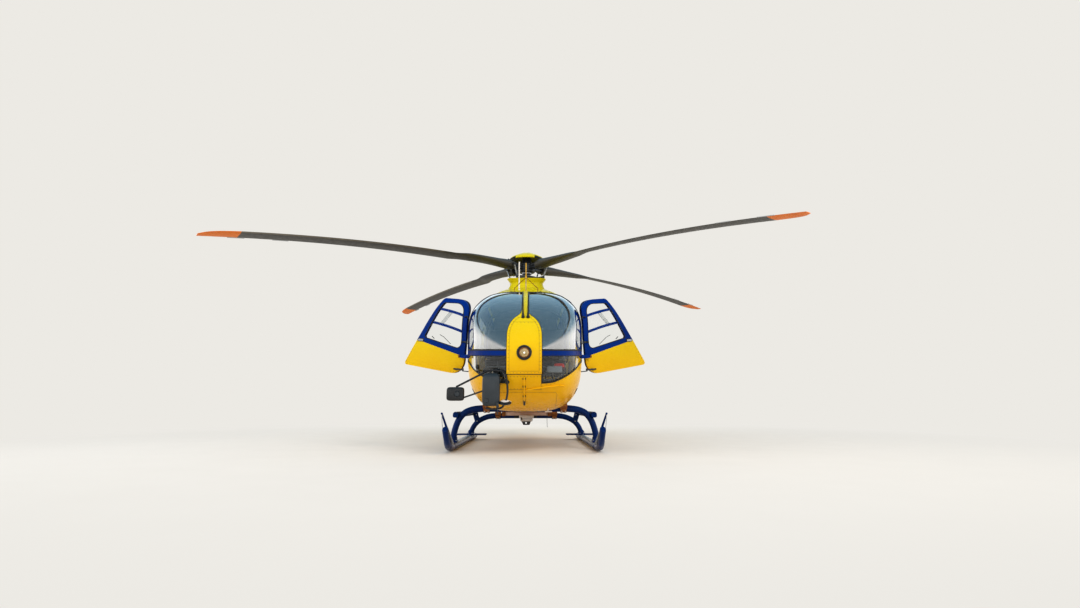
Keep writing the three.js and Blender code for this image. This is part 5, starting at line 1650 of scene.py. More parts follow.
def rotor_head():
    head = Matrix.Translation((0, 0, HEAD_Z))
    pieces = [lathe([(0, -0.095), (0.138, -0.095), (0.15, -0.086), (0.15, -0.05), (0.143, -0.044),
                     (0.143, 0.03), (0.15, 0.036), (0.15, 0.05), (0.14, 0.058), (0.093, 0.062), (0.09, 0.075),
                     (0.078, 0.16), (0.07, 0.202), (0, 0.202)], 96, head)]
    for k in range(BLADES):
        turn = turned(FIRST_BLADE + BLADE_STEP * k, "Z")
        arm = [box((0.08, -0.046, -0.04), (0.3297, 0.046, -0.006), 0.006),
               box((0.08, -0.046, 0.006), (0.3297, 0.046, 0.04), 0.006),
               box((0.08, -0.03, -0.02), (0.3, 0.03, 0.02), 0.004)]
        for r, across in ((0.19, 0.03), (0.19, -0.03), (0.25, 0.03), (0.25, -0.03)):
            arm.append(lathe([(0, -0.05), (0.009, -0.05), (0.011, -0.044), (0.011, 0.046), (0.009, 0.052),
                              (0, 0.053)], 6, Matrix.Translation((r, across, 0))))
        moved(arm, turn @ head)
        pieces += arm
    for k in range(12):
        angle = 2 * math.pi * (k + 0.5) / 12
        pieces.append(lathe([(0, 0.055), (0.009, 0.055), (0.009, 0.066), (0.006, 0.069), (0, 0.0695)], 6,
                            Matrix.Translation((0.122 * math.cos(angle), 0.122 * math.sin(angle), HEAD_Z))))
    put(merged("rotor_hub_body", pieces), "dark_steel", "main_rotor", "rotor_hub", matrix=ROTOR)

    outside = [(r, z) for r, z, _ in spline([(0.303, 0.061, 0), (0.315, 0.065, 0), (0.319, 0.085, 0),
                                             (0.28, 0.119, 0),
                                             (0.19, 0.164, 0), (0.1, 0.197, 0), (0.05, 0.209, 0),
                                             (0, 0.214, 0)], 6)]
    dome = lathe(outside + [(0, 0.204), (0.1, 0.187), (0.187, 0.154), (0.272, 0.110), (0.306, 0.085),
                            (0.303, 0.061)], 128)
    for k in range(BLADES):
        angle = math.radians(FIRST_BLADE + BLADE_STEP * k)
        scallop = [(0.33 * math.cos(angle) + 0.075 * math.cos(t),
                    0.33 * math.sin(angle) + 0.075 * math.sin(t))
                   for t in np.linspace(0, 2 * math.pi, 40, endpoint=False)]
        cut(dome, prism(scallop, "z", 0, 0.3))
        if k % 2:
            sector = np.radians(np.linspace(FIRST_BLADE + BLADE_STEP * k,
                                            FIRST_BLADE + BLADE_STEP * (k + 1), 25))
            ring = [(0.4 * math.cos(t), 0.4 * math.sin(t)) for t in sector]
            cut(dome, prism(ring + [(0.29 * math.cos(t), 0.29 * math.sin(t)) for t in sector[::-1]],
                            "z", 0, 0.3))
    put(dome, "yellow", "main_rotor", "rotor_cap", "rotor_cap_dome", ROTOR)
    under = lathe([(0, 0.1403), (0.08, 0.1403), (0.16, 0.135), (0.25, 0.1), (0.295, 0.068), (0.31, 0.07),
                   (0.3165, 0.08), (0.308, 0.092), (0.272, 0.113), (0.187, 0.157), (0.1, 0.19), (0, 0.208)],
                  128)
    put(under, "black", "main_rotor", name="rotor_cap_skirt", matrix=ROTOR)


def rotor_mast():
    top = HEAD_Z - 0.0957
    shaft = lathe([(0, -0.69), (0.068, -0.69), (0.068, -0.47), (0.075, -0.462), (0.075, -0.43),
                   (0.068, -0.42), (0.068, top - 0.055), (0.078, top - 0.04), (0.092, top - 0.025),
                   (0.092, top), (0, top)], 72)
    put(shaft, "steel", "main_rotor", "rotor_mast", "rotor_mast_shaft", ROTOR)
    pieces = [lathe([(0.069, -0.3), (0.16, -0.3), (0.184, -0.292), (0.19, -0.284), (0.19, -0.274),
                     (0.18, -0.27), (0.19, -0.266), (0.19, -0.252), (0.18, -0.2445), (0.12, -0.244),
                     (0.11, -0.232), (0.069, -0.23), (0.069, -0.3)], 96)]
    links = []
    for k in range(BLADES):
        turn = turned(FIRST_BLADE + BLADE_STEP * k, "Z")
        arm = prism(rounded([(0.13, 0.1, 0.01), (0.338, 0.102, 0.02), (0.338, 0.148, 0.02),
                             (0.12, 0.15, 0.01)]), "z", -0.296, -0.252)
        arm.data.transform(turn)
        pieces.append(arm)
        foot, head = Vector((0.315, 0.125, -0.262)), Vector((HORN_RADIUS, HORN_OUT, HEAD_Z - 0.0205))
        ahead = (head - foot).normalized()
        parts = [rod(foot, head, 0.0085, 20),
                 rod(foot + ahead * 0.05, head - ahead * 0.05, 0.013, 24),
                 rod(foot + ahead * 0.042, foot + ahead * 0.058, 0.0155, 6),
                 rod(head - ahead * 0.058, head - ahead * 0.042, 0.0155, 6),
                 rod(foot - ahead * 0.004, foot + ahead * 0.024, 0.016, 24),
                 rod(head - ahead * 0.024, head, 0.016, 24)]
        moved(parts, turn)
        links += parts
    for k in range(2):
        turn = turned(FIRST_BLADE + 45 + 180 * k, "Z")
        scissor = [rod((0.082, 0, top - 0.03), (0.165, 0, -0.214), 0.012, 20),
                   rod((0.165, 0, -0.214), (0.135, 0, -0.246), 0.012, 20),
                   rod((0.165, -0.02, -0.214), (0.165, 0.02, -0.214), 0.015, 24),
                   box((0.06, -0.02, top - 0.042), (0.09, 0.02, top - 0.018), 0.004)]
        moved(scissor, turn)
        pieces += scissor
    put(merged("swashplate", pieces), "dark_steel", "main_rotor", matrix=ROTOR)
    put(merged("pitch_links", links), "steel", "main_rotor", matrix=ROTOR)


# Skid gear
FRONT_ARCH = [(1.0, 0.112), (0.985, 0.25), (0.935, 0.398), (0.858, 0.496), (0.755, 0.545), (0.62, 0.563),
              (0.5, FRONT_TUBE_Z), (0, FRONT_TUBE_Z)]
REAR_ARCH = [(0.985, 0.112), (0.94, 0.235), (0.85, 0.338), (0.72, 0.404), (0.59, 0.43), (0.45, REAR_TUBE_Z),
             (0, REAR_TUBE_Z)]
SKID_REAR = 1.18
SKID_BEND = [(-1.9, 0.05), (-2.25, 0.05), (-2.48, 0.13), (-2.62, 0.312)]


def cross_tube(name, points, y, clamp_x):
    line = [(x, y, z) for x, z in points] + [(-x, y, z) for x, z in points[:-1][::-1]]
    line = spline(line, 8)
    ends = np.abs(line[:, 0])
    radius = np.interp(ends, [0.5, 0.62, 0.98], [CROSS_RADIUS, CROSS_RADIUS + 0.002, 0.043])
    pieces = [tube(line, radius, 40)]
    for side in (1, -1):
        x = side * points[0][0]
        pieces.append(box((x - 0.062, y - 0.075, 0.1003), (x + 0.062, y + 0.075, 0.128), 0.008))
        pieces.append(lathe([(0.04, 0), (0.056, 0), (0.058, 0.012), (0.05, 0.05), (0.044, 0.056), (0.04, 0)],
                            40, towards((x, y, 0.125), (side * points[1][0], y, points[1][1]))))
    put(merged(name + "_bar", pieces), "gear", stands_for=name)
    clamps, bolts = [], []
    for side in (1, -1):
        x, top = side * clamp_x, points[-1][1]
        ring = prism(rounded([(y - 0.058, top - 0.056, 0.03), (y + 0.058, top - 0.056, 0.03),
                              (y + 0.056, top + 0.07, 0.01),
                              (y - 0.056, top + 0.07, 0.01)]), "x", x - 0.042, x + 0.042)
        cut(ring, rod((x - 0.1, y, top), (x + 0.1, y, top), CROSS_RADIUS + 0.0005, 40, bevel=0.0))
        legs = [prism(rounded([(y + a * 0.054, top - 0.01, 0.006), (y + a * 0.1, top + 0.02, 0.01),
                               (y + a * 0.1, 0.69, 0.004), (y + a * 0.062, 0.69, 0.004)]), "x", x - 0.05,
                      x + 0.05) for a in (1, -1)]
        clamps += [ring] + [cut(leg, shell(-TOUCH)) for leg in legs]
        for along in (-0.025, 0.025):
            for ahead in (-0.052, 0.052):
                bolts.append(rod((x + along, y + ahead, top - 0.062), (x + along, y + ahead, top - 0.03),
                                 0.007, 12))
    put(merged(name + "_clamps", clamps), "rust")
    put(merged(name + "_bolts", bolts), "steel")


def step_tube(y0, y1, x=0.965, z=0.4775, half_width=0.04, half_height=0.0375):
    rings = []
    for y, grow in ((y0, 0.86), (y0 + 0.004, 0.97), (y0 + 0.012, 1.0), (y1 - 0.012, 1.0), (y1 - 0.004, 0.97),
                    (y1, 0.86)):
        slant = 0.012 if y < -1 else 0
        ring = oval(x, z, half_width * grow, half_height * grow, half_height * grow, 3.2, y, 48)
        ring[:, 1] += slant * (ring[:, 2] - z) / half_height
        rings.append(ring)
    return loft("step", rings)


def gear():
    cross_tube("cross_tube_front", FRONT_ARCH, FRONT_TUBE_Y, 0.54)
    cross_tube("cross_tube_rear", REAR_ARCH, REAR_TUBE_Y, 0.5)

    t = np.linspace(0, 1, 22)[1:, None]
    p = np.array(SKID_BEND)
    bend = (1 - t)**3 * p[0] + 3 * (1 - t)**2 * t * p[1] + 3 * (1 - t) * t * t * p[2] + t**3 * p[3]
    line = [(SKID_X, y, 0.05) for y in np.linspace(SKID_REAR, -1.9, 24)] + [(SKID_X, y, z) for y, z in bend]
    runner = tube(line, SKID_RADIUS, 48)
    tip, before = Vector(line[-1]), Vector(line[-3])
    ahead = (tip - before).normalized()
    cap = lathe([(0, -0.02), (0.0515, -0.02), (0.0525, 0.0), (0.05, 0.010), (0.04, 0.016), (0, 0.018)], 48,
                towards(tip - ahead * 0.012, tip + ahead))
    plate = merged("plate", [box((SKID_X - 0.27, 0.56, 0.09), (SKID_X + 0.27, 0.74, 0.102), 0.003),
                             box((SKID_X - 0.06, 0.54, 0.086), (SKID_X + 0.06, 0.76, 0.108), 0.005),
                             box((SKID_X - 0.27, 0.555, 0.084), (SKID_X + 0.27, 0.565, 0.108), 0.003),
                             box((SKID_X - 0.27, 0.735, 0.084), (SKID_X + 0.27, 0.745, 0.108), 0.003)])
    plug = lathe([(0, 0), (0.046, 0), (0.0515, 0.004), (0.0515, 0.03), (0, 0.03)], 48,
                 towards((SKID_X, SKID_REAR + 0.004, 0.0515), (SKID_X, 0, 0.0515)))
    whole = merged("runner", [runner, cap, plate, plug])
    for vertex in whole.data.vertices:
        s = np.interp(vertex.co.y, (-2.5, -2.2), (1, 0))
        vertex.co.x = SKID_X + (vertex.co.x - SKID_X) * (1 - 0.24 * s) - 0.012 * s
    both_sides(whole, "gear", "skid_runner", "skid")


def cable_guard():
    """A strap from the runner to its apex, and a rod from there to the toe."""
    apex = Vector((SKID_X + 0.04, -2.6, 0.505))
    foot, toe = Vector((SKID_X - 0.058, -2.28, 0.105)), Vector((SKID_X + 0.018, -2.608, 0.29))
    half = foot.lerp(apex, 0.56)

    def strap(start, end, width0, width1, thick):
        across = Vector((1, 0, 0))
        out = (end - start).cross(across).normalized()
        rings = []
        for point, width in ((start, width0), (start.lerp(end, 0.5), (width0 + width1) / 2), (end, width1)):
            rings.append([point + across * a * width + out * b * thick
                          for a, b in ((-0.5, -0.3), (-0.42, -0.5), (0.42, -0.5), (0.5, -0.3),
                                       (0.5, 0.3), (0.42, 0.5), (-0.42, 0.5), (-0.5, 0.3))])
        return loft("strap", [[tuple(q) for q in ring] for ring in rings])
    both_sides(strap(foot, half, 0.056, 0.034, 0.010), "steel", "cable_guard_plate")
    stay = rod(apex - Vector((0, 0.012, 0)), apex + Vector((0, 0.012, 0)), 0.013, 20)
    both_sides(merged("guard", [strap(half, apex, 0.03, 0.022, 0.012), stay]), "gear", "cable_guard_strap")
    both_sides(tube(spline([apex, apex.lerp(toe, 0.5) + Vector((0.004, -0.002, 0)), toe], 5), 0.0045, 10),
               "steel",
               "cable_guard_rod")


def skid_fittings():
    sleeves = [lathe([(0.046, -0.1), (0.0525, -0.1), (0.0535, -0.09), (0.0535, 0.09), (0.0525, 0.1),
                      (0.046, 0.1), (0.046, -0.1)], 48, placed((SKID_X, y, 0.054), 90, "X"))
               for y in (FRONT_TUBE_Y, REAR_TUBE_Y)]
    both_sides(merged("sleeves", sleeves), "gear", "skid_sleeves")
    # Ribs on the runner's inner shoulder, between the cross tubes
    rung = box((-0.03, -0.011, -0.004), (0.03, 0.011, 0.005), 0.003)
    rungs = [placed((SKID_X - 0.024, y, 0.05 + 0.0445), -28, "Y")
             @ turned(24, "Z") for y in np.arange(-1.62, 0.2, 0.062)]
    both_sides(repeated("rungs", rung, rungs), "steel", "skid_rungs")
    bolts = [Matrix.Translation((SKID_X + dx, y + dy, 0.127)) for y in (FRONT_TUBE_Y, REAR_TUBE_Y)
             for dx in (-0.045, 0.045) for dy in (-0.055, 0.055)]
    head = lathe([(0, -0.002), (0.01, -0.002), (0.01, 0.007), (0.007, 0.009), (0, 0.0095)], 6)
    both_sides(repeated("bolts", head, bolts), "steel", "skid_bolts")
    shoe = meet(cut(tube([(SKID_X, y, 0.0505) for y in np.linspace(-1.6, 0.1, 12)], 0.0505, 48),
                    box((0, -3, 0.03), (2, 3, 1), 0)), box((0, -3, 0.0005), (2, 3, 0.03), 0))
    both_sides(shoe, "steel", "skid_shoe")


def boarding_step():
    board = step_tube(-1.87, 0.43)
    arms = [prism(rounded([(0.845, 0.452, 0.012), (0.95, 0.455, 0.012), (0.95, 0.508, 0.012),
                           (0.845, 0.512, 0.012)]), "y",
                  FRONT_TUBE_Y - 0.028, FRONT_TUBE_Y + 0.028),
            prism(rounded([(0.835, 0.30, 0.02), (0.9, 0.29, 0.02), (0.95, 0.45, 0.015), (0.95, 0.5, 0.015),
                           (0.86, 0.49, 0.015)]), "y", REAR_TUBE_Y - 0.01, REAR_TUBE_Y + 0.01),
            prism(rounded([(0.81, 0.36, 0.02), (0.885, 0.295, 0.02), (0.93, 0.47, 0.015),
                           (0.87, 0.485, 0.015)]), "y",
                  REAR_TUBE_Y - 0.058, REAR_TUBE_Y - 0.05)]
    both_sides(merged("step", [board, *arms]), "gear", "boarding_step", "step")
    tread = box((0.935, -1.80, 0.512), (0.995, 0.36, 0.517), 0.002)
    lines = [box((0.937, y, 0.5155), (0.993, y + 0.008, 0.519), 0.001) for y in np.arange(-1.78, 0.33, 0.03)]
    both_sides(merged("tread", [tread, *lines]), "rubber", "boarding_step_tread")
    heads = [placed((x, REAR_TUBE_Y - 0.059, z), 90, "X")
             for x, z in ((0.885, 0.45), (0.87, 0.34))]
    heads += [placed((0.89, FRONT_TUBE_Y - 0.028, 0.482), 90, "X")]
    head = lathe([(0, -0.002), (0.011, -0.002), (0.011, 0.006), (0.008, 0.008), (0, 0.0085)], 6)
    both_sides(repeated("bolts", head, heads), "steel", "boarding_step_bolts")


# Cargo hook, mirrors and small fittings
HOOK_Y = -0.1


def cargo_hook():
    y = HOOK_Y
    low, high, left, right = 0.44, 0.508, -0.41, 0.43
    beam = [box((left, y - 0.04, low), (right, y + 0.04, low + 0.01), 0.003),
            box((left, y - 0.04, high - 0.01), (right, y + 0.04, high), 0.003),
            box((left, y - 0.04, low), (right, y - 0.034, high), 0.002)]
    put(cut(merged("beam", beam), shell(-TOUCH)), "pink", name="hook_beam", stands_for="cargo_hook")
    ends = [cut(prism(rounded([(x, low - 0.008, 0.01), (x + 0.06, low - 0.008, 0.01), (x + 0.06, 0.56, 0.004),
                               (x, 0.56, 0.004)]), "y", y - 0.055, y + 0.055), shell(-TOUCH))
            for x in (left, right - 0.06)]
    put(merged("hook_beam_ends", ends), "rust")
    body = [box((-0.118, y - 0.11, 0.395), (0.132, y + 0.11, 0.452), 0.014),
            box((-0.095, y - 0.085, 0.345), (0.11, y + 0.085, 0.4), 0.018),
            lathe([(0, -0.112), (0.03, -0.112), (0.034, -0.105), (0.034, 0.105), (0.03, 0.112), (0, 0.112)],
                  32,
                  placed((0.04, y, 0.415), 90, "X"))]
    put(merged("hook_body", body), "white")
    jaw = [cut(prism(rounded([(-0.07, 0.352, 0.01), (0.084, 0.352, 0.01), (0.06, 0.287, 0.02),
                              (-0.05, 0.287, 0.02)]), "y", y - 0.06, y + 0.06),
               rod((0, y - 0.1, 0.32), (0, y + 0.1, 0.32), 0.016, 32, bevel=0)),
           rod((-0.1, y, 0.375), (0.115, y, 0.375), 0.014, 20),
           rod((-0.06, y - 0.03, 0.33), (-0.08, y - 0.115, 0.41), 0.01, 14)]
    put(merged("hook_jaw", jaw), "dark_steel")
    box_piece = [box((-0.2, y - 0.03, 0.40), (-0.125, y + 0.03, 0.445), 0.006),
                 box((0.12, y - 0.025, 0.405), (0.19, y + 0.03, 0.446), 0.006)]
    put(merged("hook_boxes", box_piece), "black")


MIRROR_Y = -3.09
MIRROR_TUBE = [(-0.803, 0.82), (-0.645, 0.9), (-0.483, 0.984), (-0.427, 1.012), (-0.285, 1.01),
               (-0.227, 0.98),
               (-0.199, 0.85), (-0.197, 0.74), (-0.217, 0.65), (-0.265, 0.578), (-0.365, 0.562),
               (-0.447, 0.572)]
TALL_MIRROR, SMALL_MIRROR = (-0.497, -0.285, 0.596, 0.982), (-0.914, -0.706, 0.657, 0.817)


def housing(x0, x1, z0, z1, front, back, name):
    """A mirror's rounded shell, fuller at the front, with the glass set in its rear face."""
    middle_x, middle_z = (x0 + x1) / 2, (z0 + z1) / 2
    half, high = (x1 - x0) / 2, (z1 - z0) / 2
    rings = []
    for t, grow in ((0, 0.72), (0.08, 0.86), (0.22, 0.94), (0.45, 0.985), (0.7, 1.0), (1.0, 1.0)):
        y = front + (back - front) * t
        rings.append(oval(middle_x, middle_z, half * grow, high * grow, high * grow, 6, y, 72))
    rings.append(oval(middle_x, middle_z, half * 0.93, high * 0.96, high * 0.96, 6, back, 72))
    rings.append(oval(middle_x, middle_z, half * 0.92, high * 0.955, high * 0.955, 6, back - 0.006, 72))
    return loft(name, rings)


def mirrors():
    line = spline([(x, MIRROR_Y, z) for x, z in MIRROR_TUBE], 8)
    bars = [tube(line, 0.0115, 20), rod((-0.725, MIRROR_Y, 0.69), (-0.465, MIRROR_Y, 0.78), 0.0095, 20),
            rod((-0.205, MIRROR_Y, 0.88), (-0.205, -2.95, 0.88), 0.012, 20),
            rod((-0.445, MIRROR_Y, 0.602), (-0.365, -2.72, 0.649), 0.011, 20),
            rod((-0.525, MIRROR_Y, 0.955), (-0.585, -2.7, 1.078), 0.0095, 20)]
    feet = []
    for x, z in ((-0.205, 0.88), (-0.375, 0.64), (-0.58, 1.07)):
        feet.append(on_skin(front_point(x, z)))
    foot = lathe([(0, -0.003), (0.03, -0.003), (0.03, 0.004), (0.024, 0.008), (0.014, 0.02), (0, 0.022)], 28)
    made = cut(merged("bars", bars), shell(-TOUCH))
    put(merged("mirror_tubes", [made, repeated("feet", foot, feet)]), "black", stands_for="mirror_frame")
    tall = housing(*TALL_MIRROR, MIRROR_Y - 0.04, MIRROR_Y + 0.025, "mirror_housing_tall")
    put(tall, "mirror_back")
    small = housing(*SMALL_MIRROR, MIRROR_Y - 0.045, MIRROR_Y + 0.01, "mirror_housing_small")
    put(small, "black")
    glass = merged("mirror_glass", [
        loft("glass", [oval((x0 + x1) / 2, (z0 + z1) / 2, (x1 - x0) / 2 * 0.92, (z1 - z0) / 2 * 0.955,
                            (z1 - z0) / 2 * 0.955,
                            6, y, 72) for y in (back - 0.004, back - 0.0015)])
        for x0, x1, z0, z1, back in ((*TALL_MIRROR, MIRROR_Y + 0.025), (*SMALL_MIRROR, MIRROR_Y + 0.01))])
    put(glass, "steel")
    knobs = [lathe([(0, 0), (0.026, 0), (0.028, 0.006), (0.024, 0.014), (0.02, 0.012), (0.012, 0.011),
                    (0, 0.011)], 36, facing_front(MIRROR_Y - 0.04 + 0.004, 0.66, -0.441)),
             lathe([(0, 0), (0.034, 0), (0.036, 0.008), (0.03, 0.016), (0.026, 0.01), (0, 0.008)], 36,
                   facing_front(MIRROR_Y - 0.045 + 0.004, 0.738, -0.785)),
             box((-0.325, MIRROR_Y - 0.05, 0.575), (-0.295, MIRROR_Y - 0.02, 0.64), 0.006),
             rod((-0.31, MIRROR_Y - 0.03, 0.5), (-0.31, MIRROR_Y - 0.03, 0.6), 0.006, 14)]
    put(merged("mirror_knobs", knobs), "dark_steel")
    # The round mirror that looks down: its faces are painted pale, a painted reflection of the bright ground,
    # and its rim is black
    dish = lathe([(0, 0.012), (0.04, 0.009), (0.066, 0.0), (0.072, -0.008), (0.076, -0.006), (0.074, 0.004),
                  (0.05, 0.022), (0.0, 0.028)], 56, placed((-0.222, MIRROR_Y, 0.636), 20, "X"))
    split_looks(dish, ("white", "black"), lambda centre, normal: "white" if abs(normal.z) > 0.75 else "black")
    put(dish, "white", name="round_mirror_painted_reflection", keep_materials=True)


def wipers():
    pieces = []
    for pivot, top in (((-0.019, 1.69), (-0.036, 2.184)), ((0.044, 1.69), (0.049, 2.185))):
        points = []
        for t in np.linspace(0, 1, 9):
            x, z = pivot[0] + (top[0] - pivot[0]) * t, pivot[1] + (top[1] - pivot[1]) * t
            points.append(front_point(x, z, -0.026 + 0.008 * t))
        pieces.append(tube(points, [0.011] * 4 + [0.009] * 5, 12, flat=0.8))
        rubber = [front_point(pivot[0] + (top[0] - pivot[0]) * t, pivot[1] + (top[1] - pivot[1]) * t, -0.012)
                  for t in np.linspace(0.28, 1.0, 8)]
        pieces.append(tube(rubber, 0.0045, 8, flat=2.0))
        at = front_point(pivot[0], pivot[1], -0.012)
        pieces.append(lathe([(0, -0.002), (0.021, -0.002), (0.021, 0.012), (0.017, 0.022), (0, 0.024)], 28,
                            on_skin(at)))
        head = [front_point(pivot[0] + (top[0] - pivot[0]) * t, pivot[1] + (top[1] - pivot[1]) * t, -0.02)
                for t in (0.02, 0.06, 0.12, 0.18)]
        pieces.append(tube(head, [0.016, 0.019, 0.018, 0.012], 16, flat=0.7))
    put(merged("wipers", pieces), "black")


CUTTER_Y = -1.35
AERIAL_X, AERIAL_Y = -0.116, -0.9


def roof_fittings():
    foot = roof_point(0, CUTTER_Y)
    pole = rod(foot - Vector((0, 0, 0.01)), (0, CUTTER_Y, 2.8), 0.0085, 20)
    stays = [rod((0, CUTTER_Y, 2.57), (side * 0.185, -1.1, 2.45), 0.005, 12) for side in (1, -1)]
    stays += [rod((side * 0.185, -1.1, 2.452), (side * 0.185, -1.1, roof_point(side * 0.185, -1.1).z), 0.005,
                  12) for side in (1, -1)]
    base = lathe([(0, -0.004), (0.03, -0.004), (0.03, 0.006), (0.02, 0.012), (0.014, 0.03), (0, 0.03)], 32,
                 Matrix.Translation(foot))
    collar = rod((0, CUTTER_Y, 2.55), (0, CUTTER_Y, 2.59), 0.014, 20)
    put(merged("wire_cutter_pole", [pole, base, collar]), "ochre")
    put(merged("wire_cutter_stays", stays), "rust")
    blade = prism([(-1.36, 2.36), (-1.34, 2.36), (-1.34, 2.55), (-1.36, 2.55), (-1.385, 2.46)], "x",
                  -0.003, 0.003)
    put(blade, "steel", name="wire_cutter_blade")
    base_z = COWLING[1][2] - 0.01
    whip = merged("roof_aerial", [rod((AERIAL_X, AERIAL_Y, base_z), (AERIAL_X, AERIAL_Y, 2.94), 0.011, 20),
                                  lathe([(0, 0), (0.035, 0), (0.03, 0.02), (0.016, 0.06), (0.012, 0.07),
                                         (0, 0.07)], 32, Matrix.Translation((AERIAL_X, AERIAL_Y, 2.41)))])
    put(whip, "white")
    fin = prism(rounded([(2.4, 2.3, 0.0), (2.62, 2.3, 0.0), (2.66, 2.66, 0.01), (2.6, 2.66, 0.01)]), "x",
                -0.005, 0.005)
    put(fin, "white", name="blade_aerial")
    at = belly_point(0.305, -2.4)
    aerial = merged("belly_aerial", [rod(at + Vector((0, 0, 0.01)), at - Vector((0, 0, 0.038)), 0.007, 14),
                                     rod(at + Vector((-0.042, 0, -0.038)), at + Vector((0.05, 0, -0.038)),
                                         0.008, 14)])
    put(aerial, "white")
    low_aerial = belly_point(0.3, -2.1)
    put(tube([low_aerial, low_aerial + Vector((0.0, 0.0, -0.14)), low_aerial + Vector((0.004, 0.02, -0.22))],
             0.0025, 8),
        "black", name="belly_whip")
    strobe = lathe([(0, -0.006), (0.04, -0.006), (0.042, 0.004), (0.034, 0.012), (0.03, 0.03),
                    (0.018, 0.042), (0, 0.046)], 36, standing(belly_point(0, 1.1), (0, 0, -1)))
    put(strobe, "red_lens", name="belly_strobe")
    domes = []
    for x, y in ((0.22, -2.0), (-0.22, -2.0)):
        p = roof_point(x, y + 0.35)
        domes.append(lathe([(0, -0.003), (0.02, -0.003), (0.021, 0.003), (0.012, 0.006), (0, 0.007)], 24,
                           on_skin(p)))
    put(merged("roof_caps", domes), "dark_steel")


def door_fittings():
    """The belt's arm to each front door, and the tip at its end."""
    arm = []
    rows = (((0.69, -2.33, 1.251), 0.02, 0.054), ((0.78, -2.285, 1.253), 0.018, 0.05),
            ((0.84, -2.25, 1.257), 0.015, 0.044), ((0.885, -2.228, 1.26), 0.012, 0.036))
    for (x, y, z), width, height in rows:
        arm.append([(x, y + a * width, z + b * height) for a, b in (
            (-0.5, -0.3), (-0.3, -0.5), (0.3, -0.5), (0.5, -0.3), (0.5, 0.3), (0.3, 0.5), (-0.3, 0.5),
            (-0.5, 0.3))])
    both_sides(loft("arm", arm), "blue", "belt_arm")
    tip = lathe([(0, -0.004), (0.016, -0.002), (0.02, 0.006), (0.018, 0.018), (0.008, 0.024), (0, 0.025)], 28,
                towards((0.882, -2.23, 1.26), (0.95, -2.2, 1.262)))
    both_sides(tip, "rust", "belt_arm_tip")


# Inside the cabin
SEAT_ROWS = ((0.385, -1.33, 0.225), (-0.385, -1.33, 0.225))
BENCH_Y = 0.9


def pad(name, size, matrix, pull=0.06, seams=3):
    """A cushion: crowned faces, sides that pull in between its corners, and sewn channels across it."""
    count, rows = 48, 34
    half = np.array(size) / 2
    u = np.linspace(-math.pi / 2, math.pi / 2, rows + 2)[1:-1]
    v = np.arange(count) / count * 2 * math.pi

    def power(value, exponent):
        return np.sign(value) * np.abs(value) ** exponent
    verts = []
    for a in u:
        for b in v:
            x = power(math.cos(a), 0.3) * power(math.cos(b), 0.3)
            y = power(math.cos(a), 0.3) * power(math.sin(b), 0.3)
            z = power(math.sin(a), 0.42)
            side = 1 - pull * (1 - abs(x) ** 4) * (abs(y) > 0.6)
            swell = 1 + 0.12 * (1 - x * x) * (1 - y * y)
            channels = sum(math.exp(-((y - c) / 0.035) ** 2) for c in np.linspace(-0.5, 0.5, seams))
            groove = 1 - 0.10 * channels * (abs(x) < 0.93)
            wave = 1 - pull * (1 - abs(y) ** 4) * (abs(x) > 0.6)
            verts.append((x * half[0] * wave, y * half[1] * side, z * half[2] * swell * groove))
    return moved(from_faces(name, verts, ring_faces(rows, count)), matrix)


def seat(name, x, y, half_width, node_name):
    cushion = pad(f"{name}_cushion", (2 * half_width, 0.47, 0.105), placed((x, y - 0.235, 1.207)))
    back = pad(f"{name}_back", (2 * half_width, 0.58, 0.095), placed((x, y, 1.475), 87, "X"), seams=4)
    head = pad(f"{name}_headrest", (0.24, 0.2, 0.07), placed((x, y + 0.025, 1.83), 90, "X"), seams=1)
    for piece in (cushion, back, head):
        put(piece, "cloth", sharp=80)
    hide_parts(node_name)
    frame_piece = merged(f"{name}_frame", [
        box((x - half_width + 0.06, y - 0.4, FLOOR_TOP + TOUCH), (x - half_width + 0.09, y - 0.04, 1.16),
            0.004),
        box((x + half_width - 0.09, y - 0.4, FLOOR_TOP + TOUCH), (x + half_width - 0.06, y - 0.04, 1.16),
            0.004),
        box((x - half_width + 0.02, y - 0.45, 1.14), (x + half_width - 0.02, y + 0.02, 1.158), 0.005),
        prism(rounded([(y - 0.03, 1.15, 0.01), (y + 0.06, 1.15, 0.01), (y + 0.062, 1.76, 0.03),
                       (y + 0.03, 1.76, 0.03)]), "x",
              x - half_width + 0.015, x + half_width - 0.015),
        rod((x - 0.05, y + 0.03, 1.74), (x - 0.05, y + 0.03, 1.9), 0.007, 14),
        rod((x + 0.05, y + 0.03, 1.74), (x + 0.05, y + 0.03, 1.9), 0.007, 14)])
    put(frame_piece, "grey")
    belts = []
    for side in (1, -1):
        path = [(x + side * 0.09, y, 1.77), (x + side * 0.09, y - 0.055, 1.7),
                (x + side * 0.085, y - 0.07, 1.5), (x + side * 0.06, y - 0.085, 1.33),
                (x + side * 0.02, y - 0.13, 1.275)]
        belts.append(tube(spline(path, 6), 0.023, 10, flat=0.07))
        path = [(x + side * (half_width - 0.02), y - 0.06, 1.23), (x + side * 0.14, y - 0.11, 1.272),
                (x + side * 0.02, y - 0.14, 1.277)]
        belts.append(tube(spline(path, 6), 0.023, 10, flat=0.07))
    belts.append(lathe([(0, -0.008), (0.03, -0.008), (0.033, 0), (0.03, 0.008), (0, 0.009)], 28,
                       Matrix.Translation((x, y - 0.137, 1.28))))
    put(merged(f"{name}_harness", belts), "black")


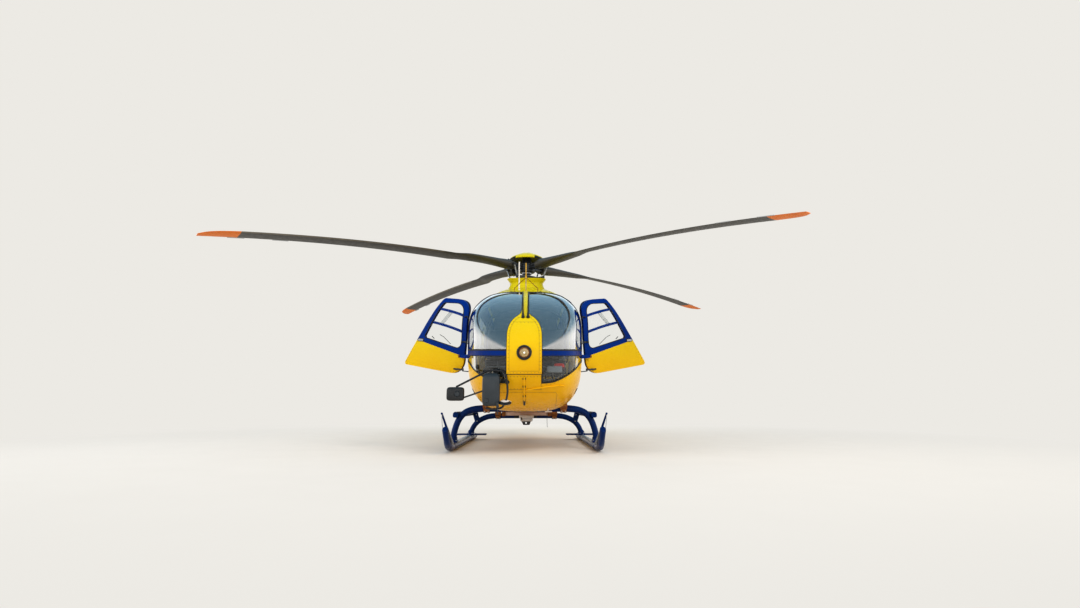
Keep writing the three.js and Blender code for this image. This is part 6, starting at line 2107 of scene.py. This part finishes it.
def cabin():
    floor = meet(shell(WALL + TOUCH), box((-1, -2.85, 0.89), (1, REAR_DOOR_Y - 0.02, FLOOR_TOP), 0))
    put(floor, "floor", name="cabin_floor_panel", stands_for="cabin_floor")
    tracks = [box((x - 0.013, -1.9, FLOOR_TOP - 0.002), (x + 0.013, 1.6, FLOOR_TOP + 0.004),
                  0.0015) for x in (-0.55, -0.22, 0.22, 0.55)]
    put(merged("seat_tracks", tracks), "steel")
    for (side_name, _), (x, y, half) in zip(SIDES, SEAT_ROWS):
        seat(f"front_seat_{side_name}", x, y, half, f"front_seat_{side_name}")
    for number, x in enumerate((-0.44, 0.0, 0.44)):
        seat(f"rear_seat_{number + 1}", x, BENCH_Y, 0.212, "rear_seats")


def instrument_panel():
    hood = prism(rounded([(-2.64, 1.18, 0.02), (-2.70, 1.33, 0.04), (-2.42, 1.44, 0.04), (-2.35, 1.4, 0.015),
                          (-2.42, 1.18, 0.02)]), "x", -0.44, 0.44)
    column = box((-0.14, -2.6, FLOOR_TOP + TOUCH), (0.14, -2.42, 1.2), 0.012)
    console = prism(rounded([(-2.5, 1.08, 0.02), (-1.98, 1.01, 0.02), (-1.98, FLOOR_TOP + TOUCH, 0.004),
                             (-2.5, FLOOR_TOP + TOUCH, 0.004)]), "x", -0.14, 0.14)
    put(merged("instrument_hood", [hood, column, console]), "panel", stands_for="instrument_panel")
    # Displays and switches, stood on the panel's rear face
    slope = math.atan2(0.07, 0.22)
    face = Matrix.Translation((0, -2.385, 1.29)) @ Matrix.Rotation(-slope, 4, "X")
    screens, bezels, knobs = [], [], []
    for x in (-0.33, -0.16, 0.02, 0.2, 0.36):
        width = 0.075 if x < 0.3 else 0.05
        bezels.append(box((x - width, -0.004, -0.075), (x + width, 0.008, 0.075), 0.004))
        screens.append(box((x - width + 0.01, 0.006, -0.062), (x + width - 0.01, 0.0095, 0.066), 0.001))
        for k in range(3):
            at = x - width + 0.02 + 0.04 * k
            knobs.append(rod((at, 0.004, -0.088), (at, 0.02, -0.088), 0.006, 16))
    moved(bezels + screens + knobs, face)
    put(merged("display_bezels", bezels), "black")
    put(merged("display_screens", screens), "screen")
    put(merged("panel_knobs", knobs), "grey")
    top = math.atan2(-0.07, 0.52)
    deck = Matrix.Translation((0, -2.24, 1.046)) @ Matrix.Rotation(top, 4, "X")
    units = []
    for k in range(4):
        units.append(box((-0.12, -0.2 + 0.11 * k, -0.002), (-0.01, -0.1 + 0.11 * k, 0.008), 0.003))
        units.append(box((0.01, -0.2 + 0.11 * k, -0.002), (0.12, -0.1 + 0.11 * k, 0.008), 0.003))
        for x in (-0.1, -0.03, 0.03, 0.1):
            units.append(rod((x, -0.18 + 0.11 * k, 0.006), (x, -0.18 + 0.11 * k, 0.02), 0.007, 16))
    moved(units, deck)
    put(merged("console_units", units), "grey")


def flight_controls():
    controls = []
    for x, _, _ in SEAT_ROWS:
        controls.append(tube(spline([(x, -2.02, FLOOR_TOP), (x, -1.98, 1.1), (x, -1.92, 1.26),
                                     (x, -1.95, 1.36)], 6), 0.012, 14))
        controls.append(tube(spline([(x, -1.95, 1.34), (x, -1.96, 1.4), (x + 0.004, -1.945, 1.44)], 5),
                             0.02, 16))
        controls.append(tube(spline([(x + 0.27, -1.25, 1.0), (x + 0.27, -1.55, 1.12),
                                     (x + 0.27, -1.72, 1.22)], 6), 0.013, 14))
        for dx in (-0.11, 0.11):
            controls.append(box((x + dx - 0.045, -2.52, 1.0), (x + dx + 0.045, -2.505, 1.09), 0.005))
            controls.append(rod((x + dx, -2.5, FLOOR_TOP), (x + dx, -2.512, 1.03), 0.009, 14))
    put(merged("flight_controls", controls), "black")


def linings():
    """The ceiling, the overhead panel, the frames inside the doorways, and what lies in the nose."""
    ceiling = skin(WALL + 0.001, WALL + 0.012, box((-0.62, -1.55, 2.15), (0.62, 1.75, 2.5), 0))
    put(ceiling, "lining", name="ceiling_lining")
    overhead = box((-0.19, -1.95, 2.12), (0.19, -1.45, 2.2), 0.02)
    put(overhead, "panel", name="overhead_panel")
    arcs = []
    for y, inset in ((-2.262, 0.07), (-0.4, 0.066)):
        width, roof_z, middle, belly = pod_section(y, inset)
        ring = oval(0, middle, width, roof_z - middle, middle - belly, ROUNDNESS, y, 120)
        upper = [tuple(p) for p in ring if p[2] > 1.3]
        upper.sort(key=lambda p: math.atan2(p[2] - middle, p[0]))
        arcs.append(tube(upper, 0.02, 14))
    put(merged("cabin_frames", arcs), "lining")
    extras = box((0.275, -2.93, 1.0), (0.462, -2.86, 1.08), 0.012)
    put(extras, "grey", name="nose_locker")
    pouch = pad("nose_pouch", (0.134, 0.07, 0.085), placed((0.431, -2.8, 1.075)), seams=1)
    put(pouch, "red", sharp=80)
    strap = [box((0.47, -2.84, 0.93), (0.49, -2.835, 1.07), 0.002),
             box((0.455, -2.85, 0.90), (0.505, -2.80, 0.93), 0.006)]
    put(merged("nose_strap", strap), "black")


# World, lights, floor and camera
BACKDROP = (0.71, 0.695, 0.66)


def stage():
    world = bpy.data.worlds.new("studio")
    bpy.context.scene.world = world
    world.use_nodes = True
    tree = world.node_tree
    tree.nodes.clear()
    height = height_of(tree, node(tree, "ShaderNodeTexCoord").outputs["Generated"])
    ground = (0.66, 0.61, 0.55)
    sky = blended(tree, ranged(tree, height, 0.05, 0.34), (1.0, 0.97, 0.92), (0.56, 0.60, 0.64))
    low = blended(tree, ranged(tree, height, -0.03, 0.03), ground, sky)
    lighting = node(tree, "ShaderNodeBackground", low, Strength=1.15)
    # What glass and paint mirror: brighter low down and bluer above
    high = blended(tree, ranged(tree, height, 0.5, 0.95), (0.32, 0.53, 0.68), (0.11, 0.30, 0.46))
    mirrored_sky = blended(tree, ranged(tree, height, 0.16, 0.52), (1.9, 1.86, 1.8), high)
    mirrored_all = blended(tree, ranged(tree, height, 0.0, 0.12), ground, mirrored_sky)
    mirror_light = node(tree, "ShaderNodeBackground", mirrored_all, Strength=1.0)
    plain = node(tree, "ShaderNodeBackground", Color=(*BACKDROP, 1), Strength=1.0)
    path = node(tree, "ShaderNodeLightPath").outputs
    direct = either(tree, path["Is Camera Ray"], path["Is Transmission Ray"])
    glossy = mixed(tree, path["Is Glossy Ray"], lighting.outputs[0], mirror_light.outputs[0])
    node(tree, "ShaderNodeOutputWorld", mixed(tree, direct, glossy, plain.outputs[0]))

    floor = from_faces("floor", [(-40, -40, 0), (40, -40, 0), (40, 60, 0), (-40, 60, 0)], [(0, 1, 2, 3)])
    paint = surface("floor_paint", ((0.70, 0.665, 0.615), (0.68, 0.645, 0.595)), (0.9, 1.0), shine=0.0)
    tree = paint.node_tree
    place = node(tree, "ShaderNodeNewGeometry").outputs["Position"]
    away = node(tree, "ShaderNodeVectorMath", place, operation="LENGTH").outputs["Value"]
    far = node(tree, "ShaderNodeEmission", Color=(*BACKDROP, 1), Strength=1.0)
    fade = mixed(tree, ranged(tree, away, 3.4, 9.5), tree.nodes["Principled BSDF"].outputs[0], far.outputs[0])
    tree.links.new(fade, tree.nodes["Material Output"].inputs["Surface"])
    floor.data.materials.append(paint)

    def area_light(name, place, target, size, power, colour):
        data = bpy.data.lights.new(name, "AREA")
        data.shape = "DISK"
        data.size = size
        data.energy = power
        data.color = colour
        lamp_object = bpy.data.objects.new(name, data)
        bpy.context.scene.collection.objects.link(lamp_object)
        lamp_object.location = place
        lamp_object.rotation_euler = (Vector(target) - Vector(place)).to_track_quat("-Z", "Y").to_euler()
        lamp_object.visible_glossy = lamp_object.visible_transmission = lamp_object.visible_camera = False
    area_light("key", (7, -12, 9), (0, -3, 1.4), 6, 800, (1.0, 0.95, 0.88))
    area_light("fill", (-10, -8, 5), (0, -2, 1.2), 7, 420, (0.96, 0.98, 1.0))
    area_light("back", (0, 12, 10), (0, 2, 2), 8, 600, (1.0, 0.98, 0.95))

    data = bpy.data.cameras.new("camera")
    data.lens = 18.27
    data.sensor_width = 36
    data.clip_end = 200
    camera = bpy.data.objects.new("camera", data)
    bpy.context.scene.collection.objects.link(camera)
    camera.location = (0.08, SHIFT - 9.662, 0.584)
    camera.rotation_euler = (math.radians(90 + 10.655), 0, math.radians(-0.95))
    bpy.context.scene.camera = camera
    bpy.context.scene.view_settings.view_transform = "Standard"
    bpy.context.scene.view_settings.look = "Medium High Contrast"


stage()
nose()
lamp()
nose_details()
hull()
side_walls()
cabin_doors()
roof()
front_doors()
rear_doors()
tail_boom()
tail_surfaces()
fan()
cowling()
mast_collar()
hatch_joints()
intakes()
exhausts()
for number in range(1, BLADES + 1):
    rotor_blade(number)
rotor_head()
rotor_mast()
gear()
cable_guard()
skid_fittings()
boarding_step()
cargo_hook()
mirrors()
wipers()
roof_fittings()
door_fittings()
cabin()
instrument_panel()
flight_controls()
linings()
removed(*POD_SHELLS.values())
